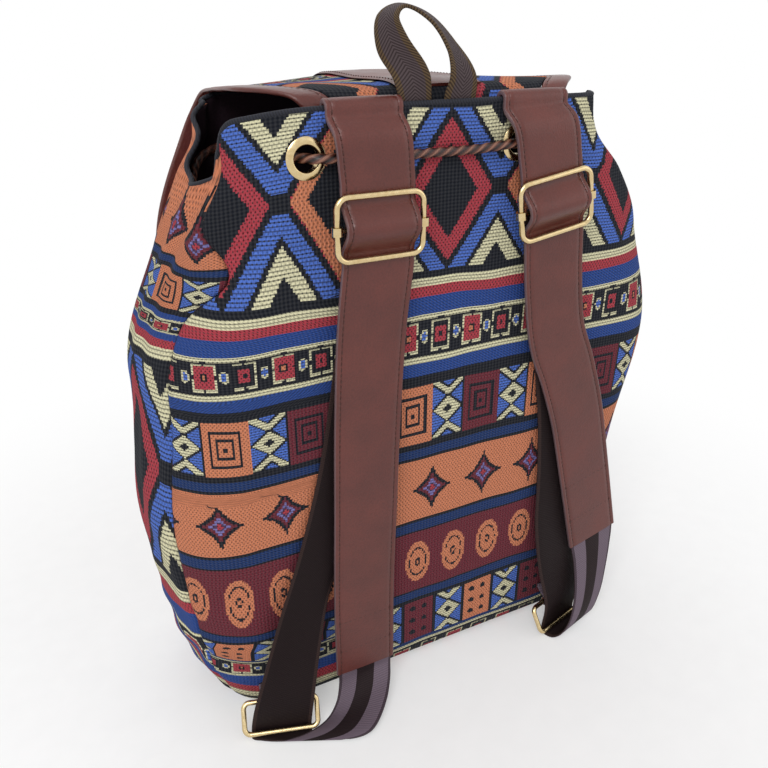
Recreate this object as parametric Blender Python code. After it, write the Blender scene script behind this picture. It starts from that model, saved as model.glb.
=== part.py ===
"""Canvas backpack: a drawstring bag with a flap, two adjustable shoulder straps and a grab handle.

Metres, +Z up. The bag stands on the floor at z = 0 with its back, the side worn against the body, facing -Y.
"""
import math

import bpy
from mathutils import Vector

for leftover in list(bpy.data.objects):
    bpy.data.objects.remove(leftover, do_unlink=True)

MM = 0.001
GAP = 0.3 * MM

# Bag body
BODY_HEIGHT = 0.383
BACK_DEPTH = 0.066
FRONT_DEPTH = 0.067
FRONT_RIM_DEPTH = 0.055
RIM_HALF_WIDTH = 0.117
SHOULDER_HALF_WIDTH = 0.158
BELLY_HALF_WIDTH = 0.181
BASE_HALF_WIDTH = 0.168
FOOT_HALF_WIDTH = 0.128
FOOT_INSET = 0.012
FOOT_HEIGHT = 0.024
BELLY_LEAN = 0.011
RIM_CORNER_RADIUS = 0.021
BELLY_CORNER_RADIUS = 0.047
CORNER_SWEEP = math.radians(61)
SIDE_DIP = 0.028
CLOTH = 2.4 * MM
BASE_THICKNESS = 9.0 * MM
LINING_CLOTH = 0.9 * MM

# Shoulder straps
STRAP_WIDTH = 0.042
STRAP_THICKNESS = 3.0 * MM
STRAP_STANDOFF = 8.6 * MM
WEBBING_WIDTH = 0.039
WEBBING_THICKNESS = 1.2 * MM
SEAM_DEPTH = 0.011
SLIDER_HEIGHT_BELOW_RIM = 0.057
SLIDER_LENGTH = 0.036
SLIDER_WIRE = 3.3 * MM
SLIDER_CORNER = 6.0 * MM
SLIDER_SIDE_ROOM = 1.9 * MM
BAR_DIAMETER = 2.5 * MM
BAR_EYE_WALL = 1.1 * MM
BAR_EYE_LENGTH = 4.4 * MM
RING_WIRE = 3.4 * MM
RING_HEIGHT = 0.023
RING_CORNER = 4.0 * MM
RING_SIDE_ROOM = 2.5 * MM
RING_SLACK = 1.0 * MM
TAB_WIDTH = 0.022
TAB_RISE = 0.011
TAB_THICKNESS = 1.4 * MM

# Handle
HANDLE_WIDTH = 0.019
HANDLE_THICKNESS = 1.8 * MM
HANDLE_RISE = 0.045
HANDLE_MIDDLE = -0.0055
HANDLE_SPREAD = 0.027

# Flap
FLAP_THICKNESS = 2.6 * MM
FLAP_SEAM_HALF_WIDTH = 0.079
FLAP_TOP_HALF_WIDTH = 0.106
FLAP_FRONT_HALF_WIDTH = 0.137
FLAP_RISE = 7.0 * MM
FLAP_STANDOFF = 4.0 * MM
FLAP_END_HEIGHT = 0.200
FLAP_CORNER_RADIUS = 0.050
BORDER_WIDTH = 0.018
CENTRE_STRAP_WIDTH = 0.052
CENTRE_STRAP_THICKNESS = 1.6 * MM
SNAP_HEIGHT = 0.228
SNAP_DIAMETER = 0.018
SNAP_THICKNESS = 2.4 * MM
SNAP_ROUNDING = 0.6 * MM

# Drawstring and eyelets
CORD_DIAMETER = 5.0 * MM
EYELET_DROP = 0.0225
EYELET_OUTER = 0.021
EYELET_BORE = 0.013
EYELET_WALL = 1.0 * MM
EYELET_FLANGE = 1.1 * MM
BACK_EYELET_X = (-0.081, 0.045)
FRONT_EYELET_X = 0.032

# Cord lock
LOCK_LENGTH = 0.026
LOCK_HEIGHT = 0.014
LOCK_WALL = 1.4 * MM
LOCK_TRAVEL = 3.0 * MM
LOCK_BORE_ROOM = 0.8 * MM
LOCK_CORD_SPACING = 8.0 * MM
LOCK_BELOW_EYELET = 0.020
LOCK_BUTTON = 4.0 * MM
KNOT_DIAMETER = 9.0 * MM
TAIL_LENGTH = 0.036
CORD_INSET = 10.0 * MM
CORD_SPACING = 3.0 * CORD_DIAMETER


def material(name, colour, roughness, metallic=0.0):
    """A plain Principled material in linear colour."""
    made = bpy.data.materials.get(name)
    if made:
        return made
    made = bpy.data.materials.new(name)
    made.use_nodes = True
    shader = made.node_tree.nodes["Principled BSDF"]
    shader.inputs["Base Color"].default_value = (*colour, 1.0)
    shader.inputs["Roughness"].default_value = roughness
    shader.inputs["Metallic"].default_value = metallic
    return made


CANVAS = ("jacquard canvas", (0.30, 0.14, 0.10), 0.9)
LEATHER = ("brown imitation leather", (0.13, 0.035, 0.024), 0.45)
WEBBING = ("dark webbing", (0.05, 0.035, 0.033), 0.8)
BRASS = ("pale brass wire", (0.72, 0.50, 0.22), 0.25, 1.0)
CORD = ("brown satin cord", (0.10, 0.04, 0.025), 0.5)
LINING = ("dark lining", (0.012, 0.010, 0.012), 0.9)
PLASTIC = ("black plastic", (0.015, 0.015, 0.016), 0.4)


def make_object(name, vertices, faces, look, smooth=True, origin=(0.0, 0.0, 0.0)):
    """A mesh object whose vertices are given in world space and whose origin may lie elsewhere."""
    start = Vector(origin)
    mesh = bpy.data.meshes.new(name)
    mesh.from_pydata([tuple(Vector(v) - start) for v in vertices], [], faces)
    mesh.validate()
    if smooth:
        mesh.shade_smooth()
        mesh.set_sharp_from_angle(angle=math.radians(40))
    made = bpy.data.objects.new(name, mesh)
    made.location = start
    made.data.materials.append(material(*look))
    bpy.context.scene.collection.objects.link(made)
    return made


def smooth_value(stations, place):
    """The value at a place along a monotone cubic through (place, value) stations."""
    if place <= stations[0][0]:
        return stations[0][1]
    if place >= stations[-1][0]:
        return stations[-1][1]
    slopes = []
    for (x0, y0), (x1, y1) in zip(stations, stations[1:]):
        slopes.append((y1 - y0) / (x1 - x0))
    tangents = [slopes[0]]
    for before, after in zip(slopes, slopes[1:]):
        agree = before * after > 0
        tangents.append(2 * before * after / (before + after) if agree else 0.0)
    tangents.append(slopes[-1])
    for index, ((x0, y0), (x1, y1)) in enumerate(zip(stations, stations[1:])):
        if place <= x1:
            span = x1 - x0
            t = (place - x0) / span
            hold = (2 * t ** 3 - 3 * t ** 2 + 1) * y0 + (3 * t ** 2 - 2 * t ** 3) * y1
            lead = (t ** 3 - 2 * t ** 2 + t) * tangents[index]
            trail = (t ** 3 - t ** 2) * tangents[index + 1]
            return hold + span * (lead + trail)
    return stations[-1][1]


def smooth_curve(points, steps):
    """Points along a centripetal Catmull-Rom curve through the given vectors, with steps a span."""
    rows = [Vector(p) for p in points]
    rows = [rows[0] * 2 - rows[1]] + rows + [rows[-1] * 2 - rows[-2]]
    made = []
    for a, b, c, d in zip(rows, rows[1:], rows[2:], rows[3:]):
        ta = 0.0
        tb = ta + max((b - a).length, 1e-6) ** 0.5
        tc = tb + max((c - b).length, 1e-6) ** 0.5
        td = tc + max((d - c).length, 1e-6) ** 0.5
        for k in range(steps):
            t = tb + (tc - tb) * k / steps
            ab = a * ((tb - t) / (tb - ta)) + b * ((t - ta) / (tb - ta))
            bc = b * ((tc - t) / (tc - tb)) + c * ((t - tb) / (tc - tb))
            cd = c * ((td - t) / (td - tc)) + d * ((t - tc) / (td - tc))
            left = ab * ((tc - t) / (tc - ta)) + bc * ((t - ta) / (tc - ta))
            right = bc * ((td - t) / (td - tb)) + cd * ((t - tb) / (td - tb))
            made.append(left * ((tc - t) / (tc - tb)) + right * ((t - tb) / (tc - tb)))
    made.append(rows[-2])
    return made


# Bag shell: a rounded section at each height, from which the panels and the lining are taken
HALF_WIDTHS = [
    (0.0, FOOT_HALF_WIDTH),
    (0.40 * FOOT_HEIGHT, 0.45 * FOOT_HALF_WIDTH + 0.55 * BASE_HALF_WIDTH),
    (FOOT_HEIGHT, 0.25 * FOOT_HALF_WIDTH + 0.75 * BASE_HALF_WIDTH),
    (2.6 * FOOT_HEIGHT, BASE_HALF_WIDTH),
    (0.27 * BODY_HEIGHT, 0.6 * BASE_HALF_WIDTH + 0.4 * BELLY_HALF_WIDTH),
    (0.60 * BODY_HEIGHT, BELLY_HALF_WIDTH),
    (0.795 * BODY_HEIGHT, SHOULDER_HALF_WIDTH),
    (0.885 * BODY_HEIGHT, 0.5 * (SHOULDER_HALF_WIDTH + RIM_HALF_WIDTH)),
    (0.95 * BODY_HEIGHT, RIM_HALF_WIDTH + 0.003),
    (BODY_HEIGHT, RIM_HALF_WIDTH),
]
LEANS = [
    (0.0, 0.0),
    (0.35 * BODY_HEIGHT, 0.0),
    (0.60 * BODY_HEIGHT, BELLY_LEAN),
    (0.80 * BODY_HEIGHT, BELLY_LEAN),
    (0.97 * BODY_HEIGHT, 0.0),
]
CORNERS = [
    (0.0, 0.75 * BELLY_CORNER_RADIUS),
    (FOOT_HEIGHT, BELLY_CORNER_RADIUS),
    (0.75 * BODY_HEIGHT, BELLY_CORNER_RADIUS),
    (0.90 * BODY_HEIGHT, RIM_CORNER_RADIUS),
]
FRONTS = [
    (0.0, FRONT_DEPTH - FOOT_INSET),
    (FOOT_HEIGHT, FRONT_DEPTH - 3 * MM),
    (0.45 * BODY_HEIGHT, FRONT_DEPTH),
    (0.70 * BODY_HEIGHT, FRONT_DEPTH),
    (BODY_HEIGHT, FRONT_RIM_DEPTH),
]
BACKS = [
    (0.0, BACK_DEPTH - FOOT_INSET),
    (0.5 * FOOT_HEIGHT, BACK_DEPTH - 1.5 * MM),
    (FOOT_HEIGHT, BACK_DEPTH),
]


def section(height):
    """Half width of the flat, corner radius, front and back depth, side radius and lean at one height."""
    corner = smooth_value(CORNERS, height)
    front = smooth_value(FRONTS, height)
    back = smooth_value(BACKS, height)
    chord = front + back - 2 * corner * (1 - math.cos(CORNER_SWEEP))
    side = chord / 2 / math.cos(CORNER_SWEEP)
    sagitta = side * (1 - math.sin(CORNER_SWEEP))
    flat = smooth_value(HALF_WIDTHS, height) - sagitta - corner * math.sin(CORNER_SWEEP)
    return flat, corner, front, back, side, smooth_value(LEANS, height)


def wall_point(panel, place, height, inset):
    """A point of the bag's wall: place runs 0 to 1 across the panel, a third of it round each corner."""
    flat, corner, front, back, side, lean = section(height)
    middle = (front - back) / 2
    if panel in ("back", "front"):
        facing = -1 if panel == "back" else 1
        depth = back if panel == "back" else front
        across = -1 if place < 0.5 else 1
        turn = min(1.0, max(0.0, (abs(place - 0.5) - 1 / 6) * 3)) * CORNER_SWEEP
        along = min(abs(place - 0.5) * 6, 1.0) * flat
        radius = corner - inset
        x = across * (along + radius * math.sin(turn))
        y = facing * (depth - corner + radius * math.cos(turn))
    else:
        across = -1 if panel == "left" else 1
        swing = (place - 0.5) * 2 * (math.pi / 2 - CORNER_SWEEP)
        seam = flat + corner * math.sin(CORNER_SWEEP)
        centre = seam - side * math.sin(CORNER_SWEEP)
        x = across * (centre + (side - inset) * math.cos(swing))
        y = middle + (side - inset) * math.sin(swing)
    return Vector((x + lean, y, height))


def rim_height(panel, place):
    """The top edge: level at the back and front, sagging along the two sides."""
    if panel in ("back", "front"):
        return BODY_HEIGHT
    return BODY_HEIGHT - SIDE_DIP * math.sin(math.pi * place) ** 1.5


def row_height(row, panel, place):
    """The height of one row of points, from the seam with the bottom panel to the rim."""
    lower = BASE_THICKNESS + GAP
    return lower + row * (rim_height(panel, place) - lower)


def panel_places(panel):
    """Where a panel's columns of points lie across it."""
    if panel in ("back", "front"):
        arc = [k / 15 for k in range(5)]
        level = [1 / 3 + k / 18 for k in range(7)]
        return arc + level + [1 - p for p in reversed(arc)]
    return [k / 6 for k in range(7)]


PANEL_ROWS = (0.0, 0.03, 0.07, 0.15, 0.27, 0.40, 0.52, 0.62, 0.70, 0.78, 0.85, 0.90, 0.95, 1.0)
LINING_TOP_ROW = PANEL_ROWS[11]
SEAM_PLACE = {"back": 0.0011, "front": 0.0011, "left": 0.0018, "right": 0.0018}


def panel_sheet(name, panel):
    """One canvas panel as a closed sheet, a seam's gap short of its neighbours at both edges."""
    places = panel_places(panel)
    trim = SEAM_PLACE[panel]
    places[0] += trim
    places[-1] -= trim
    vertices = []
    for inset in (0.0, CLOTH):
        for row in PANEL_ROWS:
            for place in places:
                vertices.append(wall_point(panel, place, row_height(row, panel, place), inset))
    columns = len(places)
    rows = len(PANEL_ROWS)
    inner = columns * rows
    faces = []
    for r in range(rows - 1):
        for c in range(columns - 1):
            a = r * columns + c
            faces.append((a, a + 1, a + columns + 1, a + columns))
            faces.append((inner + a, inner + a + columns, inner + a + columns + 1, inner + a + 1))
    for c in range(columns - 1):
        top = (rows - 1) * columns + c
        faces.append((c + 1, c, inner + c, inner + c + 1))
        faces.append((top, top + 1, inner + top + 1, inner + top))
    for r in range(rows - 1):
        a = r * columns
        b = a + columns - 1
        faces.append((a, a + columns, inner + a + columns, inner + a))
        faces.append((b + columns, b, inner + b, inner + b + columns))
    if panel in ("left", "front"):
        faces = [tuple(reversed(face)) for face in faces]
    return make_object(name, vertices, faces, CANVAS)


def outline_loop(height_of, inset):
    """Points right round the bag: back, right side, front and left side."""
    loop = []
    for panel, forward in (("back", True), ("right", True), ("front", False), ("left", False)):
        places = panel_places(panel)
        order = places if forward else list(reversed(places))
        for place in order[:-1]:
            loop.append(wall_point(panel, place, height_of(panel, place), inset))
    return loop


def stacked_loops(name, loops, look):
    """A solid skinned over closed loops, with flat ends."""
    count = len(loops[0])
    vertices = [point for loop in loops for point in loop]
    faces = []
    for level in range(len(loops) - 1):
        for k in range(count):
            after = (k + 1) % count
            base = level * count
            faces.append((base + k, base + after, base + count + after, base + count + k))
    faces.append(tuple(reversed(range(count))))
    last = (len(loops) - 1) * count
    faces.append(tuple(range(last, last + count)))
    return make_object(name, vertices, faces, look)


panels = {}
for node, panel_name in (
    ("back_panel", "back"),
    ("front_panel", "front"),
    ("left_side_panel", "left"),
    ("right_side_panel", "right"),
):
    panels[panel_name] = panel_sheet(node, panel_name)

# Bottom panel: a stiffened base whose edge curves up to the seam
base_loops = []
for level in (0.0, 0.12, 0.5, 1.0):
    base_loops.append(outline_loop(lambda panel, place, z=level * BASE_THICKNESS: z, 0.0))
stacked_loops("bottom_panel", base_loops, CANVAS)

# Lining: a thin bag just inside the canvas, short of the rim
lining_outer = CLOTH + 2 * GAP
lining_inner = lining_outer + LINING_CLOTH
lining_rows = [row for row in PANEL_ROWS if row <= LINING_TOP_ROW]


def lining_loop(row, inset, floor):
    """One level of the lining, never below the given floor."""
    return outline_loop(lambda panel, place: max(floor, row_height(row, panel, place)), inset)


lining_loops = [lining_loop(row, lining_outer, 0.0) for row in lining_rows]
lining_loops += [lining_loop(row, lining_inner, 0.0) for row in reversed(lining_rows[1:])]
lining_loops.append(lining_loop(0.0, lining_inner, BASE_THICKNESS + GAP + LINING_CLOTH))
stacked_loops("lining", lining_loops, LINING)


def wall_frame(panel, x, height):
    """Centre, outward normal and upward tangent of the flat of the back or front wall at x and height."""
    facing = -1 if panel == "back" else 1
    step = 2 * MM
    depths = []
    for z in (height - step, height, height + step):
        _, _, front, back, _, _ = section(z)
        depths.append(facing * (back if panel == "back" else front))
    up = Vector((0.0, depths[2] - depths[0], 2 * step)).normalized()
    across = Vector((-facing, 0.0, 0.0))
    return Vector((x, depths[1], height)), across.cross(up).normalized(), up


def turned_ring(name, profile, centre, axis, look, segments=18):
    """A closed profile of (radius, height) points turned about an axis through the centre."""
    z_axis = axis.normalized()
    x_axis = Vector((0.0, 0.0, 1.0)) if abs(z_axis.z) < 0.9 else Vector((1.0, 0.0, 0.0))
    x_axis = (x_axis - z_axis * x_axis.dot(z_axis)).normalized()
    y_axis = z_axis.cross(x_axis)
    vertices = []
    for k in range(segments):
        angle = 2 * math.pi * k / segments
        spoke = x_axis * math.cos(angle) + y_axis * math.sin(angle)
        for radius, height in profile:
            vertices.append(centre + spoke * radius + z_axis * height)
    count = len(profile)
    faces = []
    for k in range(segments):
        here = k * count
        there = ((k + 1) % segments) * count
        for p in range(count):
            q = (p + 1) % count
            faces.append((here + q, there + q, there + p, here + p))
    return make_object(name, vertices, faces, look)


def solid_turned(name, profile, centre, axis, look, segments=18):
    """A profile of (radius, height) points from the lower to the upper end, turned into a solid."""
    z_axis = axis.normalized()
    x_axis = Vector((0.0, 0.0, 1.0)) if abs(z_axis.z) < 0.9 else Vector((1.0, 0.0, 0.0))
    x_axis = (x_axis - z_axis * x_axis.dot(z_axis)).normalized()
    y_axis = z_axis.cross(x_axis)
    loops = []
    for radius, height in profile:
        loop = []
        for k in range(segments):
            angle = 2 * math.pi * k / segments
            spoke = x_axis * math.cos(angle) + y_axis * math.sin(angle)
            loop.append(centre + spoke * radius + z_axis * height)
        loops.append(loop)
    return stacked_loops(name, loops, look)


def cutter(name, centre, axis, radius, length, segments=18):
    """A guide cylinder that cuts a hole and isn't part of the bag."""
    made = solid_turned(name, [(radius, -length / 2), (radius, length / 2)], centre, axis, CANVAS, segments)
    made.hide_render = True
    made.display_type = "WIRE"
    return made


def cut_hole(target, guide):
    """Takes the guide's volume out of the target."""
    modifier = target.modifiers.new("hole", "BOOLEAN")
    modifier.operation = "DIFFERENCE"
    modifier.solver = "EXACT"
    modifier.object = guide


# Eyelets: a flange each side of the canvas and a barrel through it
EYELET_HEIGHT = BODY_HEIGHT - EYELET_DROP
barrel = EYELET_BORE / 2 + EYELET_WALL
eyelet_back = -(CLOTH + GAP)
EYELET_PROFILE = [
    (EYELET_BORE / 2, eyelet_back - 0.7 * EYELET_FLANGE),
    (EYELET_BORE / 2, 0.35 * EYELET_FLANGE + GAP),
    (EYELET_BORE / 2 + 0.6 * EYELET_WALL, EYELET_FLANGE + GAP),
    (0.46 * EYELET_OUTER, EYELET_FLANGE + GAP),
    (EYELET_OUTER / 2, GAP),
    (barrel, GAP),
    (barrel, eyelet_back),
    (0.46 * EYELET_OUTER, eyelet_back),
    (0.46 * EYELET_OUTER, eyelet_back - 0.7 * EYELET_FLANGE),
]
EYELETS = (
    ("eyelet_back_left", "back", BACK_EYELET_X[0]),
    ("eyelet_back_right", "back", BACK_EYELET_X[1]),
    ("eyelet_front_left", "front", -FRONT_EYELET_X),
    ("eyelet_front_right", "front", FRONT_EYELET_X),
)
for node, panel_name, eyelet_x in EYELETS:
    spot, outward, upward = wall_frame(panel_name, eyelet_x, EYELET_HEIGHT)
    turned_ring(node, EYELET_PROFILE, spot, outward, BRASS)
    guide = cutter(node + "_hole", spot, outward, barrel + GAP, 6 * CLOTH)
    cut_hole(panels[panel_name], guide)


def band(name, centres, sides, width, thickness, look):
    """A flat strap swept along its centre points, each with the direction of its width."""
    count = len(centres)
    vertices = []
    for k, centre in enumerate(centres):
        ahead = centres[min(k + 1, count - 1)]
        behind = centres[max(k - 1, 0)]
        tangent = (ahead - behind).normalized()
        side = sides[k].normalized()
        normal = tangent.cross(side).normalized()
        for across, out in ((-1, -1), (1, -1), (1, 1), (-1, 1)):
            vertices.append(centre + side * (across * width / 2) + normal * (out * thickness / 2))
    faces = [(3, 2, 1, 0)]
    for k in range(count - 1):
        for p in range(4):
            q = (p + 1) % 4
            faces.append((4 * k + p, 4 * k + q, 4 * k + 4 + q, 4 * k + 4 + p))
    last = 4 * (count - 1)
    faces.append((last, last + 1, last + 2, last + 3))
    return make_object(name, vertices, faces, look)


def wire_loop(name, corners, radius, bend, look, origin):
    """A closed wire through the corners of a flat frame, with rounded corners."""
    points = []
    count = len(corners)
    for k in range(count):
        corner = corners[k]
        before = (corners[k - 1] - corner).normalized()
        after = (corners[(k + 1) % count] - corner).normalized()
        hub = corner + (before + after) * bend
        for step in range(5):
            angle = math.pi / 2 * step / 4
            points.append(hub - after * bend * math.cos(angle) - before * bend * math.sin(angle))
    curve = bpy.data.curves.new(name, "CURVE")
    curve.dimensions = "3D"
    curve.bevel_depth = radius
    curve.bevel_resolution = 2
    curve.materials.append(material(*look))
    spline = curve.splines.new("POLY")
    spline.points.add(len(points) - 1)
    for slot, point in zip(spline.points, points):
        slot.co = (*(point - origin), 1.0)
    spline.use_cyclic_u = True
    made = bpy.data.objects.new(name, curve)
    made.location = origin
    bpy.context.scene.collection.objects.link(made)
    return made


def wire_tube(name, points, radius, look, resolution=2):
    """An open wire or cord with filled ends."""
    curve = bpy.data.curves.new(name, "CURVE")
    curve.dimensions = "3D"
    curve.bevel_depth = radius
    curve.bevel_resolution = resolution
    curve.use_fill_caps = True
    curve.materials.append(material(*look))
    spline = curve.splines.new("POLY")
    spline.points.add(len(points) - 1)
    for slot, point in zip(spline.points, points):
        slot.co = (*point, 1.0)
    made = bpy.data.objects.new(name, curve)
    bpy.context.scene.collection.objects.link(made)
    return made


# Shoulder straps. Each leather strap leaves the rim, passes its slider and ends above the floor.
# Webbing goes on from that end, through the ring at the foot of the bag, and back up to the slider's bar.
WIRE_RADIUS = SLIDER_WIRE / 2
BAR_RADIUS = BAR_DIAMETER / 2
STRAP_Y = -(BACK_DEPTH + STRAP_STANDOFF)
BEHIND_WIRE = WIRE_RADIUS + GAP + STRAP_THICKNESS / 2
OVER_BAR = BAR_RADIUS + GAP + WEBBING_THICKNESS + GAP + STRAP_THICKNESS / 2
HUMP_HALF_LENGTH = SLIDER_LENGTH / 2 - SLIDER_WIRE - 0.8 * MM
SLIDER_Z = BODY_HEIGHT - SLIDER_HEIGHT_BELOW_RIM
RIM_BEND = CLOTH / 2 + 2 * GAP + STRAP_THICKNESS / 2

STRAPS = {
    "left": {
        "top": -0.050,
        "slider": -0.046,
        "route": ((-0.050, 0.87), (-0.053, 0.68), (-0.055, 0.45), (-0.057, 0.21), (-0.057, 0.0)),
        "end": 0.026,
        "tilt": 0.0,
        "webbing": (
            ((-0.057, 8.0, 0.018), (1.0, 0.0, 0.10)),
            ((-0.061, 14.0, 0.009), (0.98, -0.12, 0.16)),
            ((-0.071, 24.0, 0.0035), (0.90, -0.36, 0.20)),
            ((-0.086, 33.0, 0.0028), (0.86, -0.50, 0.06)),
            ((-0.103, 31.0, 0.0018), (0.90, -0.43, 0.0)),
            ((-0.1175, 21.0, 0.0012), (0.94, -0.34, 0.0)),
        ),
        "ring": (-0.121, 16.5, 0.0),
        "ring_turn": -17.0,
        "ring_tilt": 35.0,
        "back_run": (
            ((-0.118, 15.5, 0.024), (0.96, -0.24, 0.08)),
            ((-0.110, 11.0, 0.050), (0.96, -0.06, 0.20)),
            ((-0.098, 6.4, 0.088), (0.95, 0.10, 0.28)),
            ((-0.081, 3.6, 0.130), (0.95, 0.02, 0.30)),
            ((-0.064, 2.6, 0.185), (0.97, 0.0, 0.22)),
            ((-0.053, 2.6, 0.240), (0.99, 0.0, 0.10)),
        ),
    },
    "right": {
        "top": 0.053,
        "slider": 0.066,
        "route": ((0.072, 0.90), (0.079, 0.74), (0.091, 0.62), (0.103, 0.48), (0.114, 0.31), (0.133, 0.0)),
        "end": 0.070,
        "tilt": 9.0,
        "webbing": (
            ((0.1345, 10.0, 0.055), (0.98, 0.12, 0.14)),
            ((0.1300, 17.0, 0.035), (0.95, 0.24, 0.18)),
            ((0.1220, 23.5, 0.018), (0.95, 0.28, 0.10)),
            ((0.1140, 25.0, 0.0060), (0.96, 0.27, 0.0)),
            ((0.1090, 21.5, 0.0014), (0.96, 0.26, 0.0)),
        ),
        "ring": (0.106, 16.0, 0.0),
        "ring_turn": 15.0,
        "ring_tilt": 30.0,
        "back_run": (
            ((0.1055, 14.0, 0.026), (0.96, 0.26, 0.0)),
            ((0.1015, 8.4, 0.055), (0.97, 0.20, -0.10)),
            ((0.0985, 4.6, 0.090), (0.97, 0.12, -0.16)),
            ((0.0975, 3.8, 0.130), (0.97, 0.05, -0.20)),
            ((0.0930, 3.6, 0.180), (0.98, 0.03, -0.22)),
            ((0.0840, 3.0, 0.235), (0.98, 0.0, -0.18)),
        ),
    },
}


def outside(point):
    """A point given as x, millimetres outside the back wall and z."""
    x, out, z = point
    return Vector((x, -(BACK_DEPTH + out * MM), z))


def hump(offset):
    """How far the strap rises out of its plane where it climbs over the slider's bar."""
    if abs(offset) >= HUMP_HALF_LENGTH:
        return 0.0
    return (BEHIND_WIRE + OVER_BAR) * (0.5 + 0.5 * math.cos(math.pi * offset / HUMP_HALF_LENGTH))


def strap_centres(spec):
    """The leather strap's centre line and side directions, from inside the rim to its lower end."""
    tilt = math.radians(spec["tilt"])
    down = Vector((math.sin(tilt), 0.0, -math.cos(tilt)))
    middle = Vector((spec["slider"], STRAP_Y, SLIDER_Z))
    reach = SLIDER_LENGTH / 2 + 4 * MM
    rim = Vector((spec["top"], CLOTH / 2 - BACK_DEPTH, BODY_HEIGHT))
    lead = [rim + Vector((0.0, RIM_BEND, -drop * SEAM_DEPTH)) for drop in (1.0, 0.5)]
    for step in range(9):
        angle = math.pi * step / 8
        lead.append(rim + Vector((0.0, math.cos(angle), math.sin(angle))) * RIM_BEND)
    outer = lead.pop()
    above = middle - down * reach
    below = middle + down * reach
    away = [
        outer,
        Vector((outer.x, outer.y - 0.5 * MM, outer.z + 0.12 * (above.z - outer.z))),
        Vector((outer.x + 0.35 * (above.x - outer.x), STRAP_Y, outer.z + 0.35 * (above.z - outer.z))),
        above,
    ]
    lead += smooth_curve(away, 4)
    crossing = []
    steps = 22
    for k in range(1, steps):
        offset = -reach + 2 * reach * k / steps
        crossing.append(middle + down * offset + Vector((0.0, -hump(offset), 0.0)))
    tail = [below]
    for x, share in spec["route"]:
        tail.append(Vector((x, STRAP_Y, spec["end"] + share * (below.z - spec["end"]))))
    tail = [point for index, point in enumerate(tail) if index == 0 or point.z < below.z - 8 * MM]
    run = smooth_curve(tail, 4)
    centres = lead + crossing + run
    across = Vector((-down.z, 0.0, down.x))
    sides = []
    for k in range(len(lead)):
        share = max(0.0, (k - 10) / (len(lead) - 10))
        sides.append(Vector((1.0, 0.0, 0.0)).lerp(across, share))
    for k in range(len(lead), len(centres)):
        ahead = centres[min(k + 1, len(centres) - 1)]
        behind = centres[max(k - 1, 0)]
        sides.append(Vector((behind.z - ahead.z, 0.0, ahead.x - behind.x)).normalized())
    return centres, sides, middle, down


def webbing_centres(spec, strap_end, strap_side, middle, down):
    """The webbing from the strap's end through the ring and up to the eye round the slider's bar."""
    turn = math.radians(spec["ring_turn"])
    ring_side = Vector((math.cos(turn), math.sin(turn), 0.0))
    ring_back = Vector((-math.sin(turn), math.cos(turn), 0.0))
    floor = RING_WIRE / 2 + RING_SLACK + GAP + WEBBING_THICKNESS
    wire = outside(spec["ring"]) + Vector((0.0, 0.0, floor + 0.2 * MM))
    wrap = RING_WIRE / 2 + RING_SLACK + WEBBING_THICKNESS / 2
    rows = [(strap_end, strap_side)]
    rows += [(outside(point), Vector(side)) for point, side in spec["webbing"]]
    for degrees in (-90, -35, 0):
        angle = math.radians(degrees)
        spoke = ring_back * math.cos(angle) + Vector((0.0, 0.0, math.sin(angle)))
        rows.append((wire + spoke * wrap, ring_side))
    rows += [(outside(point), Vector(side)) for point, side in spec["back_run"]]
    bar = middle + Vector((0.0, -BEHIND_WIRE, 0.0))
    side = Vector((-down.z, 0.0, down.x))
    behind = BEHIND_WIRE + STRAP_THICKNESS / 2 + GAP + WEBBING_THICKNESS / 2
    eye = BAR_RADIUS + GAP + WEBBING_THICKNESS / 2
    for along, out in ((-30.0, behind), (-HUMP_HALF_LENGTH / MM - 1.5, behind)):
        rows.append((bar - down * (along * MM) + Vector((0.0, out, 0.0)), side))
    rows.append((bar + down * (0.64 * HUMP_HALF_LENGTH) + Vector((0.0, 0.84 * behind, 0.0)), side))
    rows.append((bar + down * (0.36 * HUMP_HALF_LENGTH) + Vector((0.0, 0.60 * behind, 0.0)), side))
    for degrees in (75, 35, -5, -45, -90, -130, -165):
        angle = math.radians(degrees)
        spoke = Vector((0.0, math.sin(angle), 0.0)) - down * math.cos(angle)
        rows.append((bar + spoke * eye, side))
    centres = smooth_curve([row[0] for row in rows], 3)
    sides = smooth_curve([row[1].normalized() for row in rows], 3)
    return centres, sides, wire, ring_side, bar, side


def rod_with_eyes(name, centre, axis, reach, look):
    """The slider's bar: a rod whose two ends are eyes round the frame's side wires."""
    along = axis.normalized()
    upright = Vector((0.0, -1.0, 0.0)).cross(along).normalized()
    rod_reach = reach - WIRE_RADIUS - GAP - 0.5 * BAR_EYE_WALL
    rod = solid_turned(name, [(BAR_RADIUS, -rod_reach), (BAR_RADIUS, rod_reach)], centre, along, look, 12)
    outer = WIRE_RADIUS + GAP + BAR_EYE_WALL
    for end, sign in (("left", -1), ("right", 1)):
        hub = centre + along * (sign * reach)
        ends = [(outer, -BAR_EYE_LENGTH / 2), (outer, BAR_EYE_LENGTH / 2)]
        collar = solid_turned(name + "_" + end + "_collar", ends, hub, upright, look, 14)
        collar.hide_render = True
        collar.display_type = "WIRE"
        joined = rod.modifiers.new(end + " collar", "BOOLEAN")
        joined.operation = "UNION"
        joined.solver = "EXACT"
        joined.object = collar
    for end, sign in (("left", -1), ("right", 1)):
        hub = centre + along * (sign * reach)
        guide = cutter(name + "_" + end + "_bore", hub, upright, WIRE_RADIUS + GAP, 3 * BAR_EYE_LENGTH, 14)
        cut_hole(rod, guide)
    return rod


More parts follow.
